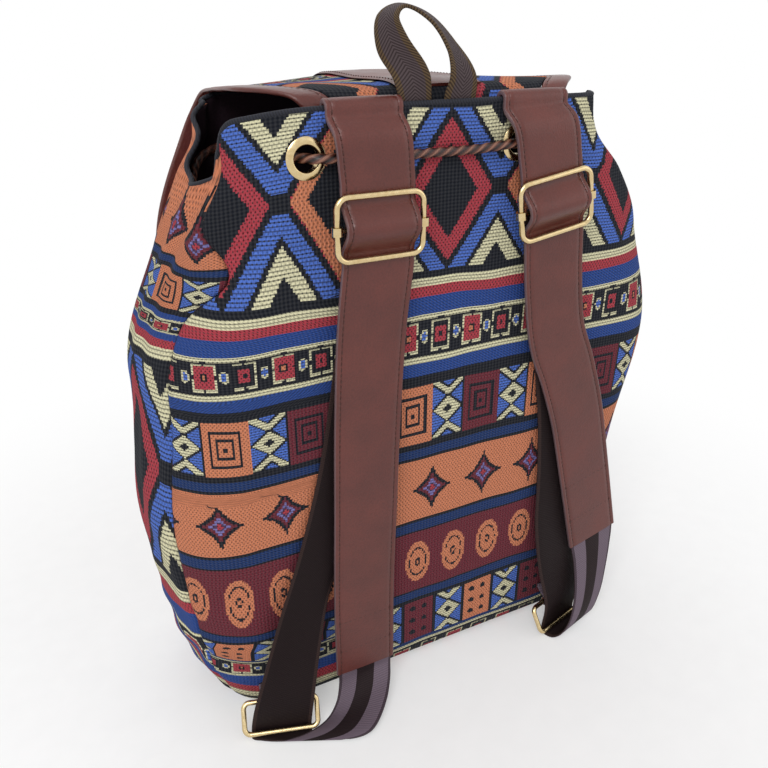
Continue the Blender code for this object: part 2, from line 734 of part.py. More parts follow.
def back_wall(x, height):
    """The point of the back wall's outer face at a given x and height."""
    low, high = 0.0, 1.0
    for _ in range(24):
        middle = (low + high) / 2
        if wall_point("back", middle, height, 0.0).x < x:
            low = middle
        else:
            high = middle
    return wall_point("back", (low + high) / 2, height, 0.0)


def tab_band(name, hinge, ring_side):
    """A short webbing loop, sewn to the foot of the bag and folded round the ring's upper wire."""
    back = Vector((-ring_side.y, ring_side.x, 0.0))
    wrap = RING_WIRE / 2 + GAP + TAB_THICKNESS / 2
    height = hinge.z + TAB_RISE
    chord = back_wall(hinge.x + TAB_WIDTH / 2, height) - back_wall(hinge.x - TAB_WIDTH / 2, height)
    wall_side = chord.normalized()
    wall_out = Vector((wall_side.y, -wall_side.x, 0.0))
    root = back_wall(hinge.x, height) + wall_out * (GAP + TAB_THICKNESS / 2)
    rows = [(root, wall_side), (root - Vector((0.0, 0.0, 0.25 * TAB_RISE)) + wall_out * 0.2 * MM, wall_side)]
    for degrees in (135, 165, 195, 225, 255, 285, 315):
        angle = math.radians(degrees)
        spoke = back * math.cos(angle) + Vector((0.0, 0.0, math.sin(angle)))
        rows.append((hinge + spoke * wrap, ring_side))
    centres = smooth_curve([row[0] for row in rows], 2)
    sides = smooth_curve([row[1] for row in rows], 2)
    return band(name, centres, sides, TAB_WIDTH, TAB_THICKNESS, WEBBING)


for hand, spec in STRAPS.items():
    centres, sides, middle, down = strap_centres(spec)
    band(hand + "_strap_leather", centres, sides, STRAP_WIDTH, STRAP_THICKNESS, LEATHER)
    end_flow = (centres[-1] - centres[-2]).normalized()
    web_start = centres[-1] + end_flow * GAP
    web_centres, web_sides, wire, ring_side, bar, bar_side = webbing_centres(
        spec, web_start, sides[-1], middle, down
    )
    band(hand + "_strap_webbing", web_centres, web_sides, WEBBING_WIDTH, WEBBING_THICKNESS, WEBBING)
    half_long = SLIDER_LENGTH / 2 - WIRE_RADIUS
    half_wide = STRAP_WIDTH / 2 + SLIDER_SIDE_ROOM + WIRE_RADIUS
    slider_corners = []
    for across, along in ((-1, -1), (1, -1), (1, 1), (-1, 1)):
        slider_corners.append(bar + bar_side * (across * half_wide) + down * (along * half_long))
    wire_loop(hand + "_slider_frame", slider_corners, WIRE_RADIUS, SLIDER_CORNER, BRASS, bar)
    ring_wide = WEBBING_WIDTH / 2 + RING_SIDE_ROOM + RING_WIRE / 2
    ring_tall = RING_HEIGHT - RING_WIRE
    ring_tilt = math.radians(spec["ring_tilt"])
    ring_back = Vector((-ring_side.y, ring_side.x, 0.0))
    ring_up = Vector((0.0, 0.0, math.cos(ring_tilt))) + ring_back * math.sin(ring_tilt)
    ring_corners = []
    for across, up in ((-1, 0), (1, 0), (1, 1), (-1, 1)):
        ring_corners.append(wire + ring_side * (across * ring_wide) + ring_up * (up * ring_tall))
    hinge = wire + ring_up * ring_tall
    wire_loop(hand + "_ring", ring_corners, RING_WIRE / 2, RING_CORNER, BRASS, hinge)
    rod_with_eyes(hand + "_slider_bar", bar, bar_side, half_wide, BRASS)
    tab_band(hand + "_ring_tab", hinge, ring_side)

# Handle: webbing whose two ends are sewn inside the back rim, side by side
handle_y = CLOTH + GAP + HANDLE_THICKNESS / 2 - BACK_DEPTH
left_foot = HANDLE_MIDDLE - HANDLE_SPREAD / 2
right_foot = HANDLE_MIDDLE + HANDLE_SPREAD / 2
crown = BODY_HEIGHT + HANDLE_RISE
HANDLE_ROUTE = (
    ((left_foot, handle_y, BODY_HEIGHT - SEAM_DEPTH), (1.0, 0.0, 0.0)),
    ((left_foot, handle_y, BODY_HEIGHT + 2 * MM), (1.0, 0.0, 0.0)),
    ((left_foot - 3 * MM, handle_y - 1 * MM, BODY_HEIGHT + 0.30 * HANDLE_RISE), (0.92, -0.35, 0.12)),
    ((left_foot - 11 * MM, handle_y + 4 * MM, BODY_HEIGHT + 0.62 * HANDLE_RISE), (0.50, -0.80, 0.25)),
    ((left_foot - 10 * MM, handle_y + 11 * MM, crown - 5 * MM), (0.12, -0.98, 0.0)),
    ((left_foot - 0 * MM, handle_y + 15 * MM, crown), (-0.20, -0.96, -0.05)),
    ((HANDLE_MIDDLE + 2 * MM, handle_y + 13 * MM, crown - 6 * MM), (-0.36, -0.88, -0.20)),
    ((right_foot - 2 * MM, handle_y + 7 * MM, BODY_HEIGHT + 0.58 * HANDLE_RISE), (-0.62, -0.74, -0.20)),
    ((right_foot + 1 * MM, handle_y - 0.5 * MM, BODY_HEIGHT + 0.28 * HANDLE_RISE), (-0.95, -0.28, -0.05)),
    ((right_foot, handle_y, BODY_HEIGHT + 2 * MM), (-1.0, 0.0, 0.0)),
    ((right_foot, handle_y, BODY_HEIGHT - SEAM_DEPTH), (-1.0, 0.0, 0.0)),
)
handle_centres = smooth_curve([Vector(point) for point, _ in HANDLE_ROUTE], 4)
handle_sides = smooth_curve([Vector(side).normalized() for _, side in HANDLE_ROUTE], 4)
band("handle", handle_centres, handle_sides, HANDLE_WIDTH, HANDLE_THICKNESS, WEBBING)

# Flap: sewn inside the back rim, over the mouth and down the front to the snap
SNAP_STACK = 2 * SNAP_THICKNESS + 3 * GAP
flap_root_y = CLOTH / 2 - BACK_DEPTH + RIM_BEND + STRAP_THICKNESS / 2 + GAP + FLAP_THICKNESS / 2
flap_hang_y = FRONT_DEPTH + SNAP_STACK + FLAP_THICKNESS / 2
flap_top = BODY_HEIGHT + FLAP_RISE
lock_z = BODY_HEIGHT - EYELET_DROP - LOCK_BELOW_EYELET
FLAP_ROUTE = (
    (flap_root_y, BODY_HEIGHT - SEAM_DEPTH),
    (flap_root_y, BODY_HEIGHT - 0.2 * SEAM_DEPTH),
    (flap_root_y + 3 * MM, flap_top - 2.5 * MM),
    (flap_root_y + 11 * MM, flap_top),
    (0.0, flap_top),
    (FRONT_RIM_DEPTH - 12 * MM, flap_top),
    (FRONT_RIM_DEPTH + 7 * MM, flap_top - 4 * MM),
    (flap_hang_y + 0.6 * FLAP_STANDOFF, BODY_HEIGHT - 14 * MM),
    (flap_hang_y + FLAP_STANDOFF, lock_z),
    (flap_hang_y + FLAP_STANDOFF, lock_z - LOCK_HEIGHT / 2 - TAIL_LENGTH),
    (flap_hang_y, SNAP_HEIGHT + 1.3 * SNAP_DIAMETER),
    (flap_hang_y, SNAP_HEIGHT),
    (flap_hang_y, FLAP_END_HEIGHT),
)
flap_line = smooth_curve([Vector((0.0, y, z)) for y, z in FLAP_ROUTE], 3)
flap_reach = [0.0]
for before, after in zip(flap_line, flap_line[1:]):
    flap_reach.append(flap_reach[-1] + (after - before).length)


def flap_point(reach, x, off):
    """A point at a distance along the flap, across it and off its middle surface."""
    last = len(flap_line) - 2
    index = max(k for k in range(last + 1) if flap_reach[k] <= reach + 1e-9 or k == 0)
    start, end = flap_line[index], flap_line[index + 1]
    share = (reach - flap_reach[index]) / (flap_reach[index + 1] - flap_reach[index])
    ahead = flap_line[min(index + 2, last + 1)] - start
    behind = end - flap_line[max(index - 1, 0)]
    tangent = behind.normalized().lerp(ahead.normalized(), min(max(share, 0.0), 1.0)).normalized()
    normal = Vector((0.0, -tangent.z, tangent.y))
    return start.lerp(end, share) + Vector((x, 0.0, 0.0)) + normal * off


def flap_half_width(reach):
    """Half the flap's width: narrow in the seam, wider over the mouth and widest down the front."""
    front = flap_reach[-1] - (BODY_HEIGHT - FLAP_END_HEIGHT)
    drop = flap_reach[-1] - front
    flare = 0.8 * FLAP_FRONT_HALF_WIDTH + 0.2 * FLAP_TOP_HALF_WIDTH
    stations = [
        (SEAM_DEPTH, FLAP_SEAM_HALF_WIDTH),
        (SEAM_DEPTH + 5 * FLAP_RISE, FLAP_TOP_HALF_WIDTH),
        (front, FLAP_TOP_HALF_WIDTH + 1 * MM),
        (front + 0.45 * drop, flare),
        (front + 0.66 * drop, FLAP_FRONT_HALF_WIDTH),
    ]
    return smooth_value(stations, reach)


def flap_edge(inset):
    """The flap's left edge drawn in by an inset, as (distance along, half width) from seam to foot."""
    turn_start = flap_reach[-1] - FLAP_CORNER_RADIUS
    edge = [(reach, flap_half_width(reach) - inset) for reach in flap_reach if reach < turn_start - 2 * MM]
    hub = flap_half_width(turn_start) - FLAP_CORNER_RADIUS
    radius = FLAP_CORNER_RADIUS - inset
    for step in range(7):
        angle = math.pi / 2 * step / 6
        edge.append((turn_start + radius * math.sin(angle), hub + radius * math.cos(angle)))
    return edge


def sheet(name, rows, lower, upper, look):
    """A closed sheet over rows of (distance along, x) places on the flap, between two offsets."""
    columns = len(rows[0])
    vertices = []
    for off in (lower, upper):
        for row in rows:
            vertices += [flap_point(reach, x, off) for reach, x in row]
    top = columns * len(rows)
    faces = []
    for r in range(len(rows) - 1):
        for c in range(columns - 1):
            a = r * columns + c
            faces.append((a, a + columns, a + columns + 1, a + 1))
            faces.append((top + a, top + a + 1, top + a + columns + 1, top + a + columns))
    for c in range(columns - 1):
        a = c
        b = (len(rows) - 1) * columns + c
        faces.append((a, a + 1, top + a + 1, top + a))
        faces.append((b + 1, b, top + b, top + b + 1))
    for r in range(len(rows) - 1):
        a = r * columns
        b = a + columns - 1
        faces.append((a + columns, a, top + a, top + a + columns))
        faces.append((b, b + columns, top + b + columns, top + b))
    return make_object(name, vertices, faces, look)


half_flap = FLAP_THICKNESS / 2
ACROSS = (-1.0, -0.7, -0.35, 0.0, 0.35, 0.7, 1.0)
fabric_rows = [[(reach, half * a) for a in ACROSS] for reach, half in flap_edge(BORDER_WIDTH + 2 * GAP)]
sheet("flap", fabric_rows, -half_flap, half_flap, CANVAS)
outer_edge = flap_edge(0.0)
inner_edge = flap_edge(BORDER_WIDTH)
border_rows = [[(ro, -ho), (ri, -hi)] for (ro, ho), (ri, hi) in zip(outer_edge, inner_edge)]
foot_outer, foot_inner = outer_edge[-1], inner_edge[-1]
for share in (-0.6, -0.2, 0.2, 0.6):
    border_rows.append([(foot_outer[0], foot_outer[1] * share), (foot_inner[0], foot_inner[1] * share)])
border_rows += [[(ro, ho), (ri, hi)] for (ro, ho), (ri, hi) in reversed(list(zip(outer_edge, inner_edge)))]
sheet("flap_border", border_rows, -half_flap, half_flap, LEATHER)
strap_reaches = [reach for reach in flap_reach if SEAM_DEPTH + FLAP_RISE < reach < flap_reach[-1] - 1 * MM]
centre_half = CENTRE_STRAP_WIDTH / 2
centre_rows = [[(reach, -centre_half), (reach, centre_half)] for reach in strap_reaches]
centre_low = half_flap + GAP
sheet("flap_strap", centre_rows, centre_low, centre_low + CENTRE_STRAP_THICKNESS, LEATHER)

# Magnetic snap: one half on the bag's front, the other behind the flap
SNAP_PROFILE = [
    (SNAP_DIAMETER / 2 - SNAP_ROUNDING, 0.0),
    (SNAP_DIAMETER / 2, SNAP_ROUNDING),
    (SNAP_DIAMETER / 2, SNAP_THICKNESS - SNAP_ROUNDING),
    (SNAP_DIAMETER / 2 - SNAP_ROUNDING, SNAP_THICKNESS),
]
snap_start = Vector((0.0, FRONT_DEPTH + GAP, SNAP_HEIGHT))
for node in ("snap_front_half", "snap_flap_half"):
    solid_turned(node, SNAP_PROFILE, snap_start, Vector((0.0, 1.0, 0.0)), BRASS, 20)
    snap_start = snap_start + Vector((0.0, SNAP_THICKNESS + GAP, 0.0))

# Cord lock: a body with a sprung button; both cord tails pass down through it
cord_radius = CORD_DIAMETER / 2
bore = CORD_DIAMETER + LOCK_BORE_ROOM
plunger_depth = bore + 2 * MM
lock_depth = plunger_depth + 2 * GAP + 2 * LOCK_WALL
wall_at_lock = wall_frame("front", 0.0, lock_z + LOCK_HEIGHT / 2)[0].y
wall_below = wall_frame("front", 0.0, lock_z - LOCK_HEIGHT / 2)[0].y
lock_centre = Vector((0.0, max(wall_at_lock, wall_below) + GAP + lock_depth / 2, lock_z))


def block(name, low, high, look, rounding=0.0, guide=False, origin=(0.0, 0.0, 0.0)):
    """An upright box between two corners, with rounded edges."""
    corners = [Vector((x, y, z)) for z in (low.z, high.z) for y in (low.y, high.y) for x in (low.x, high.x)]
    faces = [(0, 2, 3, 1), (4, 5, 7, 6), (0, 1, 5, 4), (2, 6, 7, 3), (0, 4, 6, 2), (1, 3, 7, 5)]
    made = make_object(name, corners, faces, look, smooth=False, origin=origin)
    if rounding:
        bevel = made.modifiers.new("edges", "BEVEL")
        bevel.width = rounding
        bevel.segments = 2
    if guide:
        made.hide_render = True
        made.display_type = "WIRE"
    return made


half_lock = Vector((LOCK_LENGTH / 2, lock_depth / 2, LOCK_HEIGHT / 2))
lock_body = block("cord_lock_body", lock_centre - half_lock, lock_centre + half_lock, PLASTIC, 1.6 * MM)
cavity_half = Vector((0.0, plunger_depth / 2 + GAP, LOCK_HEIGHT / 2 - LOCK_WALL))
cavity_low = lock_centre - cavity_half - Vector((LOCK_LENGTH / 2 - LOCK_WALL, 0.0, 0.0))
cavity_high = lock_centre + cavity_half + Vector((LOCK_LENGTH, 0.0, 0.0))
cut_hole(lock_body, block("cord_lock_cavity", cavity_low, cavity_high, PLASTIC, guide=True))
for sign in (-1, 1):
    hole = lock_centre + Vector((sign * LOCK_CORD_SPACING / 2, 0.0, 0.0))
    bore_name = "cord_lock_bore_left" if sign < 0 else "cord_lock_bore_right"
    cut_hole(lock_body, cutter(bore_name, hole, Vector((0.0, 0.0, 1.0)), bore / 2, 2 * LOCK_HEIGHT, 16))
plunger_low = cavity_low + Vector((LOCK_TRAVEL + GAP, GAP, GAP))
plunger_high = lock_centre + cavity_half + Vector((LOCK_LENGTH / 2 + LOCK_BUTTON, -GAP, -GAP))
plunger = block("cord_lock_button", plunger_low, plunger_high, PLASTIC, 0.8 * MM, origin=lock_centre)
slot_half = Vector((0.0, bore / 2, LOCK_HEIGHT))
slot_low = lock_centre - slot_half - Vector((LOCK_CORD_SPACING / 2 + bore / 2, 0.0, 0.0))
slot_high = lock_centre + slot_half + Vector((LOCK_CORD_SPACING / 2 + bore / 2 + LOCK_TRAVEL, 0.0, 0.0))
cut_hole(plunger, block("cord_lock_slot", slot_low, slot_high, PLASTIC, guide=True))

# Drawstring: one cord from knot to knot, round the inside of the rim and out across the back
PASS_THROUGH = ((10.0, 5.1), (3.4, 3.3), (0.2, -1.0), (-3.0, -5.2), (-10.0, -7.5))
SIDE_SAGS = ((0.12, 0.45), (0.33, 0.9), (0.5, 1.0), (0.67, 0.9), (0.88, 0.45))
BACK_BOW = ((0.25, 3.1), (0.5, 3.0), (0.75, 3.1))


def eyelet_pass(panel, x, toward, inward):
    """Cord points through an eyelet; toward is the side that the outside run lies on."""
    spot, outward, _ = wall_frame(panel, x, EYELET_HEIGHT)
    steps = PASS_THROUGH if inward else tuple(reversed(PASS_THROUGH))
    return [spot + Vector((toward * along * MM, 0.0, 0.0)) + outward * (out * MM) for along, out in steps]


def inside_run(side):
    """Cord points along the inside of one side panel, from the back seam to the front seam."""
    drop = SIDE_DIP - 4 * MM
    return [wall_point(side, place, EYELET_HEIGHT - sag * drop, CORD_INSET) for place, sag in SIDE_SAGS]


tail_x = LOCK_CORD_SPACING / 2
tail_end = lock_z - LOCK_HEIGHT / 2 - TAIL_LENGTH
tail_y = wall_frame("front", 0.0, tail_end - KNOT_DIAMETER)[0].y + GAP + KNOT_DIAMETER / 2
route = []
for sign, side in ((-1, "left"), (1, "right")):
    half = [
        Vector((sign * (tail_x + 5 * MM), tail_y, tail_end)),
        Vector((sign * (tail_x + 3.5 * MM), 0.5 * (tail_y + lock_centre.y), tail_end + 0.4 * TAIL_LENGTH)),
        Vector((sign * (tail_x + 0.4 * MM), lock_centre.y, lock_z - LOCK_HEIGHT / 2 - 3 * MM)),
        Vector((sign * tail_x, lock_centre.y, lock_z)),
        Vector((sign * (tail_x + 0.3 * MM), lock_centre.y, lock_z + LOCK_HEIGHT / 2 + 1 * MM)),
        Vector((sign * (tail_x + 7 * MM), lock_centre.y - 0.5 * MM, lock_z + LOCK_HEIGHT / 2 + 6.5 * MM)),
    ]
    half += eyelet_pass("front", sign * FRONT_EYELET_X, -sign, True)
    half.append(Vector((sign * 0.062, FRONT_RIM_DEPTH - 6.5 * MM, EYELET_HEIGHT - 1 * MM)))
    half += list(reversed(inside_run(side)))
    if sign < 0:
        half += eyelet_pass("back", BACK_EYELET_X[0], 1, False)
        route += half
        for share, out in BACK_BOW:
            x = BACK_EYELET_X[0] + share * (BACK_EYELET_X[1] - BACK_EYELET_X[0])
            route.append(Vector((x, -(BACK_DEPTH + out * MM), EYELET_HEIGHT - 1.5 * MM)))
    else:
        half.append(Vector((0.075, -(BACK_DEPTH - CLOTH - 3.6 * MM), EYELET_HEIGHT - 1 * MM)))
        half += eyelet_pass("back", BACK_EYELET_X[1], -1, False)
        route += list(reversed(half))
FINE_STEPS = 12
fine = smooth_curve(route, FINE_STEPS)
cord_points = []
for span in range(len(route) - 1):
    parts = max(1, math.ceil((route[span + 1] - route[span]).length / CORD_SPACING))
    cord_points += [fine[span * FINE_STEPS + round(FINE_STEPS * k / parts)] for k in range(parts)]
cord_points.append(fine[-1])
wire_tube("drawstring", cord_points, cord_radius, CORD)
for name, end in (("left", fine[0]), ("right", fine[-1])):
    flow = Vector((0.0, 0.0, -1.0))
    knot = KNOT_DIAMETER / 2
    turns = (0.5, 1.0, 1.57, 2.14, 2.64)
    shape = [(knot * math.sin(turn), knot * (1 - math.cos(turn))) for turn in turns]
    solid_turned("drawstring_knot_" + name, shape, end + flow * (2 * GAP - shape[0][1]), flow, CORD, 12)
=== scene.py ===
"""Looks of the canvas backpack: jacquard cloth, imitation leather, webbing, brass wire and a twisted cord.

Lengths are in metres unless a name says millimetres. +Z is up and the back of the bag faces -Y.
"""
import math

import bpy
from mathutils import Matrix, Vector, noise


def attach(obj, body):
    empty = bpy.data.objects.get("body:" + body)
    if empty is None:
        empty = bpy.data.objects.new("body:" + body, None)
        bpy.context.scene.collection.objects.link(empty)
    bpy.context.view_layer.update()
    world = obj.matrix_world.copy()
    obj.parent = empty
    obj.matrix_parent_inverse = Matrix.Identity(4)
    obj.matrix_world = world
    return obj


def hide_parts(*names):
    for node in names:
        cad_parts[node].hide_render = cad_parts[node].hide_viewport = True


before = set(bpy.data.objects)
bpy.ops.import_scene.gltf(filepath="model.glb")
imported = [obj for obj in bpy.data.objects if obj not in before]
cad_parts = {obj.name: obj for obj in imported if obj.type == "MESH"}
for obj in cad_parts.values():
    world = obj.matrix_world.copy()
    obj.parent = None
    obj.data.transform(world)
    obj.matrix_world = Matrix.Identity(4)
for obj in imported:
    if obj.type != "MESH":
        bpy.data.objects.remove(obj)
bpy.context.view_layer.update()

# Canvas body
# Four panels of jacquard-woven cotton canvas, sewn together along their edges and gathered a little
# at the neck by the drawstring. Each is a fine curved sheet with soft folds, thickened inwards.
MM = 0.001
GAP = 0.3 * MM
BODY_HEIGHT = 0.383
BACK_DEPTH = 0.066
FRONT_DEPTH = 0.067
FRONT_RIM_DEPTH = 0.055
RIM_HALF_WIDTH = 0.117
SHOULDER_HALF_WIDTH = 0.158
BELLY_HALF_WIDTH = 0.181
BASE_HALF_WIDTH = 0.168
FOOT_HALF_WIDTH = 0.128
FOOT_INSET = 0.012
FOOT_HEIGHT = 0.024
BELLY_LEAN = 0.011
RIM_CORNER_RADIUS = 0.021
BELLY_CORNER_RADIUS = 0.047
CORNER_SWEEP = math.radians(61)
SIDE_DIP = 0.028
CLOTH = 2.4 * MM
BASE_THICKNESS = 9.0 * MM


def smooth_value(stations, place):
    """The value at a place along a monotone cubic through (place, value) stations."""
    if place <= stations[0][0]:
        return stations[0][1]
    if place >= stations[-1][0]:
        return stations[-1][1]
    slopes = []
    for (x0, y0), (x1, y1) in zip(stations, stations[1:]):
        slopes.append((y1 - y0) / (x1 - x0))
    tangents = [slopes[0]]
    for before, after in zip(slopes, slopes[1:]):
        agree = before * after > 0
        tangents.append(2 * before * after / (before + after) if agree else 0.0)
    tangents.append(slopes[-1])
    for index, ((x0, y0), (x1, y1)) in enumerate(zip(stations, stations[1:])):
        if place <= x1:
            span = x1 - x0
            t = (place - x0) / span
            hold = (2 * t ** 3 - 3 * t ** 2 + 1) * y0 + (3 * t ** 2 - 2 * t ** 3) * y1
            lead = (t ** 3 - 2 * t ** 2 + t) * tangents[index]
            trail = (t ** 3 - t ** 2) * tangents[index + 1]
            return hold + span * (lead + trail)
    return stations[-1][1]


def smooth_curve(points, steps):
    """Points along a centripetal Catmull-Rom curve through the given vectors, with steps a span."""
    rows = [Vector(p) for p in points]
    rows = [rows[0] * 2 - rows[1]] + rows + [rows[-1] * 2 - rows[-2]]
    made = []
    for a, b, c, d in zip(rows, rows[1:], rows[2:], rows[3:]):
        ta = 0.0
        tb = ta + max((b - a).length, 1e-6) ** 0.5
        tc = tb + max((c - b).length, 1e-6) ** 0.5
        td = tc + max((d - c).length, 1e-6) ** 0.5
        for k in range(steps):
            t = tb + (tc - tb) * k / steps
            ab = a * ((tb - t) / (tb - ta)) + b * ((t - ta) / (tb - ta))
            bc = b * ((tc - t) / (tc - tb)) + c * ((t - tb) / (tc - tb))
            cd = c * ((td - t) / (td - tc)) + d * ((t - tc) / (td - tc))
            left = ab * ((tc - t) / (tc - ta)) + bc * ((t - ta) / (tc - ta))
            right = bc * ((td - t) / (td - tb)) + cd * ((t - tb) / (td - tb))
            made.append(left * ((tc - t) / (tc - tb)) + right * ((t - tb) / (tc - tb)))
    made.append(rows[-2])
    return made


HALF_WIDTHS = [
    (0.0, FOOT_HALF_WIDTH),
    (0.40 * FOOT_HEIGHT, 0.45 * FOOT_HALF_WIDTH + 0.55 * BASE_HALF_WIDTH),
    (FOOT_HEIGHT, 0.25 * FOOT_HALF_WIDTH + 0.75 * BASE_HALF_WIDTH),
    (2.6 * FOOT_HEIGHT, BASE_HALF_WIDTH),
    (0.27 * BODY_HEIGHT, 0.6 * BASE_HALF_WIDTH + 0.4 * BELLY_HALF_WIDTH),
    (0.60 * BODY_HEIGHT, BELLY_HALF_WIDTH),
    (0.795 * BODY_HEIGHT, SHOULDER_HALF_WIDTH),
    (0.885 * BODY_HEIGHT, 0.5 * (SHOULDER_HALF_WIDTH + RIM_HALF_WIDTH)),
    (0.95 * BODY_HEIGHT, RIM_HALF_WIDTH + 0.003),
    (BODY_HEIGHT, RIM_HALF_WIDTH),
]
LEANS = [
    (0.0, 0.0),
    (0.35 * BODY_HEIGHT, 0.0),
    (0.60 * BODY_HEIGHT, BELLY_LEAN),
    (0.80 * BODY_HEIGHT, BELLY_LEAN),
    (0.97 * BODY_HEIGHT, 0.0),
]
CORNERS = [
    (0.0, 0.75 * BELLY_CORNER_RADIUS),
    (FOOT_HEIGHT, BELLY_CORNER_RADIUS),
    (0.75 * BODY_HEIGHT, BELLY_CORNER_RADIUS),
    (0.90 * BODY_HEIGHT, RIM_CORNER_RADIUS),
]
FRONTS = [
    (0.0, FRONT_DEPTH - FOOT_INSET),
    (FOOT_HEIGHT, FRONT_DEPTH - 3 * MM),
    (0.45 * BODY_HEIGHT, FRONT_DEPTH),
    (0.70 * BODY_HEIGHT, FRONT_DEPTH),
    (BODY_HEIGHT, FRONT_RIM_DEPTH),
]
BACKS = [
    (0.0, BACK_DEPTH - FOOT_INSET),
    (0.5 * FOOT_HEIGHT, BACK_DEPTH - 1.5 * MM),
    (FOOT_HEIGHT, BACK_DEPTH),
]


def section(height):
    """Half width of the flat, corner radius, front and back depth, side radius and lean at one height."""
    corner = smooth_value(CORNERS, height)
    front = smooth_value(FRONTS, height)
    back = smooth_value(BACKS, height)
    chord = front + back - 2 * corner * (1 - math.cos(CORNER_SWEEP))
    side = chord / 2 / math.cos(CORNER_SWEEP)
    sagitta = side * (1 - math.sin(CORNER_SWEEP))
    flat = smooth_value(HALF_WIDTHS, height) - sagitta - corner * math.sin(CORNER_SWEEP)
    return flat, corner, front, back, side, smooth_value(LEANS, height)


def wall_point(panel, place, height, inset):
    """A point of the bag's wall: place runs 0 to 1 across the panel, a third of it round each corner."""
    flat, corner, front, back, side, lean = section(height)
    middle = (front - back) / 2
    if panel in ("back", "front"):
        facing = -1 if panel == "back" else 1
        depth = back if panel == "back" else front
        across = -1 if place < 0.5 else 1
        turn = min(1.0, max(0.0, (abs(place - 0.5) - 1 / 6) * 3)) * CORNER_SWEEP
        along = min(abs(place - 0.5) * 6, 1.0) * flat
        radius = corner - inset
        x = across * (along + radius * math.sin(turn))
        y = facing * (depth - corner + radius * math.cos(turn))
    else:
        across = -1 if panel == "left" else 1
        swing = (place - 0.5) * 2 * (math.pi / 2 - CORNER_SWEEP)
        seam = flat + corner * math.sin(CORNER_SWEEP)
        centre = seam - side * math.sin(CORNER_SWEEP)
        x = across * (centre + (side - inset) * math.cos(swing))
        y = middle + (side - inset) * math.sin(swing)
    return Vector((x + lean, y, height))


def rim_height(panel, place):
    """The top edge: level at the back and front, sagging along the two sides."""
    if panel in ("back", "front"):
        return BODY_HEIGHT
    return BODY_HEIGHT - SIDE_DIP * math.sin(math.pi * place) ** 1.5


def round_the_bag(steps):
    """Each panel and place on it, going once round the bag from the back's left seam."""
    for panel, forward in (("back", True), ("right", True), ("front", False), ("left", False)):
        for k in range(steps):
            yield panel, k / steps if forward else 1 - k / steps


def linear(hex_colour):
    """The linear colour of an sRGB hex value."""
    channels = [int(hex_colour[k:k + 2], 16) / 255 for k in (1, 3, 5)]
    return tuple(c / 12.92 if c <= 0.04045 else ((c + 0.055) / 1.055) ** 2.4 for c in channels) + (1.0,)


def add_node(tree, kind, inputs=None, stops=None, **settings):
    """Adds a node with its settings. Each input is a value or another node's output."""
    node = tree.nodes.new(kind)
    for name, value in settings.items():
        setattr(node, name, value)
    for slot, value in (inputs or {}).items():
        if isinstance(value, bpy.types.NodeSocket):
            tree.links.new(value, node.inputs[slot])
        else:
            node.inputs[slot].default_value = value
    if stops:
        ramp = node.color_ramp
        ramp.interpolation = "CONSTANT"
        while len(ramp.elements) < len(stops):
            ramp.elements.new(1.0)
        for element, (place, colour) in zip(ramp.elements, stops):
            element.position = place
            element.color = colour
    return node.outputs


def new_material(name, roughness, metallic=0.0):
    """A material with its Principled shader, ready for the nodes that give its surface."""
    made = bpy.data.materials.new(name)
    made.use_nodes = True
    shader = made.node_tree.nodes["Principled BSDF"]
    shader.inputs["Roughness"].default_value = roughness
    shader.inputs["Metallic"].default_value = metallic
    return made, made.node_tree, shader


SEAM_SHIFT = 0.15
SEAM_SHIFT_HEIGHT = 0.302
SEAM_SHIFT_BELOW = 0.016
SEAM_SHIFT_ABOVE = 0.026
SEAM_SINK = 1.5 * MM
SEAM_SINK_REACH = 3.5 * MM
VALLEY_DEPTH = 1.2 * MM
VALLEY_REACH = 12 * MM
BILLOW = 0.9 * MM
SIDE_GATHER = 3.2 * MM
FLAT_GATHER = 1.4 * MM
GATHERS = 4.0
NECK_START = 0.24
NECK_GROWS_OVER = 0.12
CREASE = 0.9 * MM
SLUMP_HEIGHT = 0.05
SLUMP_REACH = 0.05
FOLD_PUSH = Vector((-0.017, -0.001, -0.005))
FOLD_REACH = 0.0145
FOLD_START = 0.285
FOLD_GROWS_OVER = 0.055
LEFT_RIM_SAG = 0.022
CORNER_SAG_SHARE = 0.4
CORNER_SAG_REACH = 0.10
FRONT_RIM_DROP = 0.005


def seam_shift(height):
    """How much of the back's left corner the side cloth covers, where the sewn line runs straight down."""
    spread = SEAM_SHIFT_BELOW if height < SEAM_SHIFT_HEIGHT else SEAM_SHIFT_ABOVE
    return SEAM_SHIFT * math.exp(-((height - SEAM_SHIFT_HEIGHT) / spread) ** 2)


def cloth_offset(panel, place, height, from_seam):
    """How far the cloth lies outside its plain shape: soft billows, gathers at the neck and sunk seams."""
    seam = -SEAM_SINK * math.exp(-(from_seam / SEAM_SINK_REACH) ** 2)
    if panel == "left":
        seam -= VALLEY_DEPTH * math.exp(-(from_seam / VALLEY_REACH) ** 2) * seam_shift(height) / SEAM_SHIFT
    spot = Vector((place * 5.0, height * 16.0, 3.0 if panel in ("back", "left") else 8.0))
    loose = 1.0 + 1.4 * max(0.0, abs(place - 0.5) * 2 - 0.4) if panel in ("back", "front") else 2.4
    billow = BILLOW * loose * noise.noise(spot)
    neck = min(1.0, max(0.0, (height - NECK_START) / NECK_GROWS_OVER))
    side = 1.0 if panel in ("left", "right") else min(1.0, max(0.0, abs(place - 0.5) * 3 - 0.5) * 2)
    depth = SIDE_GATHER if panel in ("left", "right") else FLAT_GATHER
    gather = -depth * neck * side * (0.5 + 0.5 * math.cos(2 * math.pi * (place * GATHERS + 3.0 * height)))
    slump = math.exp(-((height - SLUMP_HEIGHT) / SLUMP_REACH) ** 2)
    crease = CREASE * side * slump * math.sin(height * 210 + place * 9)
    return seam + billow + gather + crease


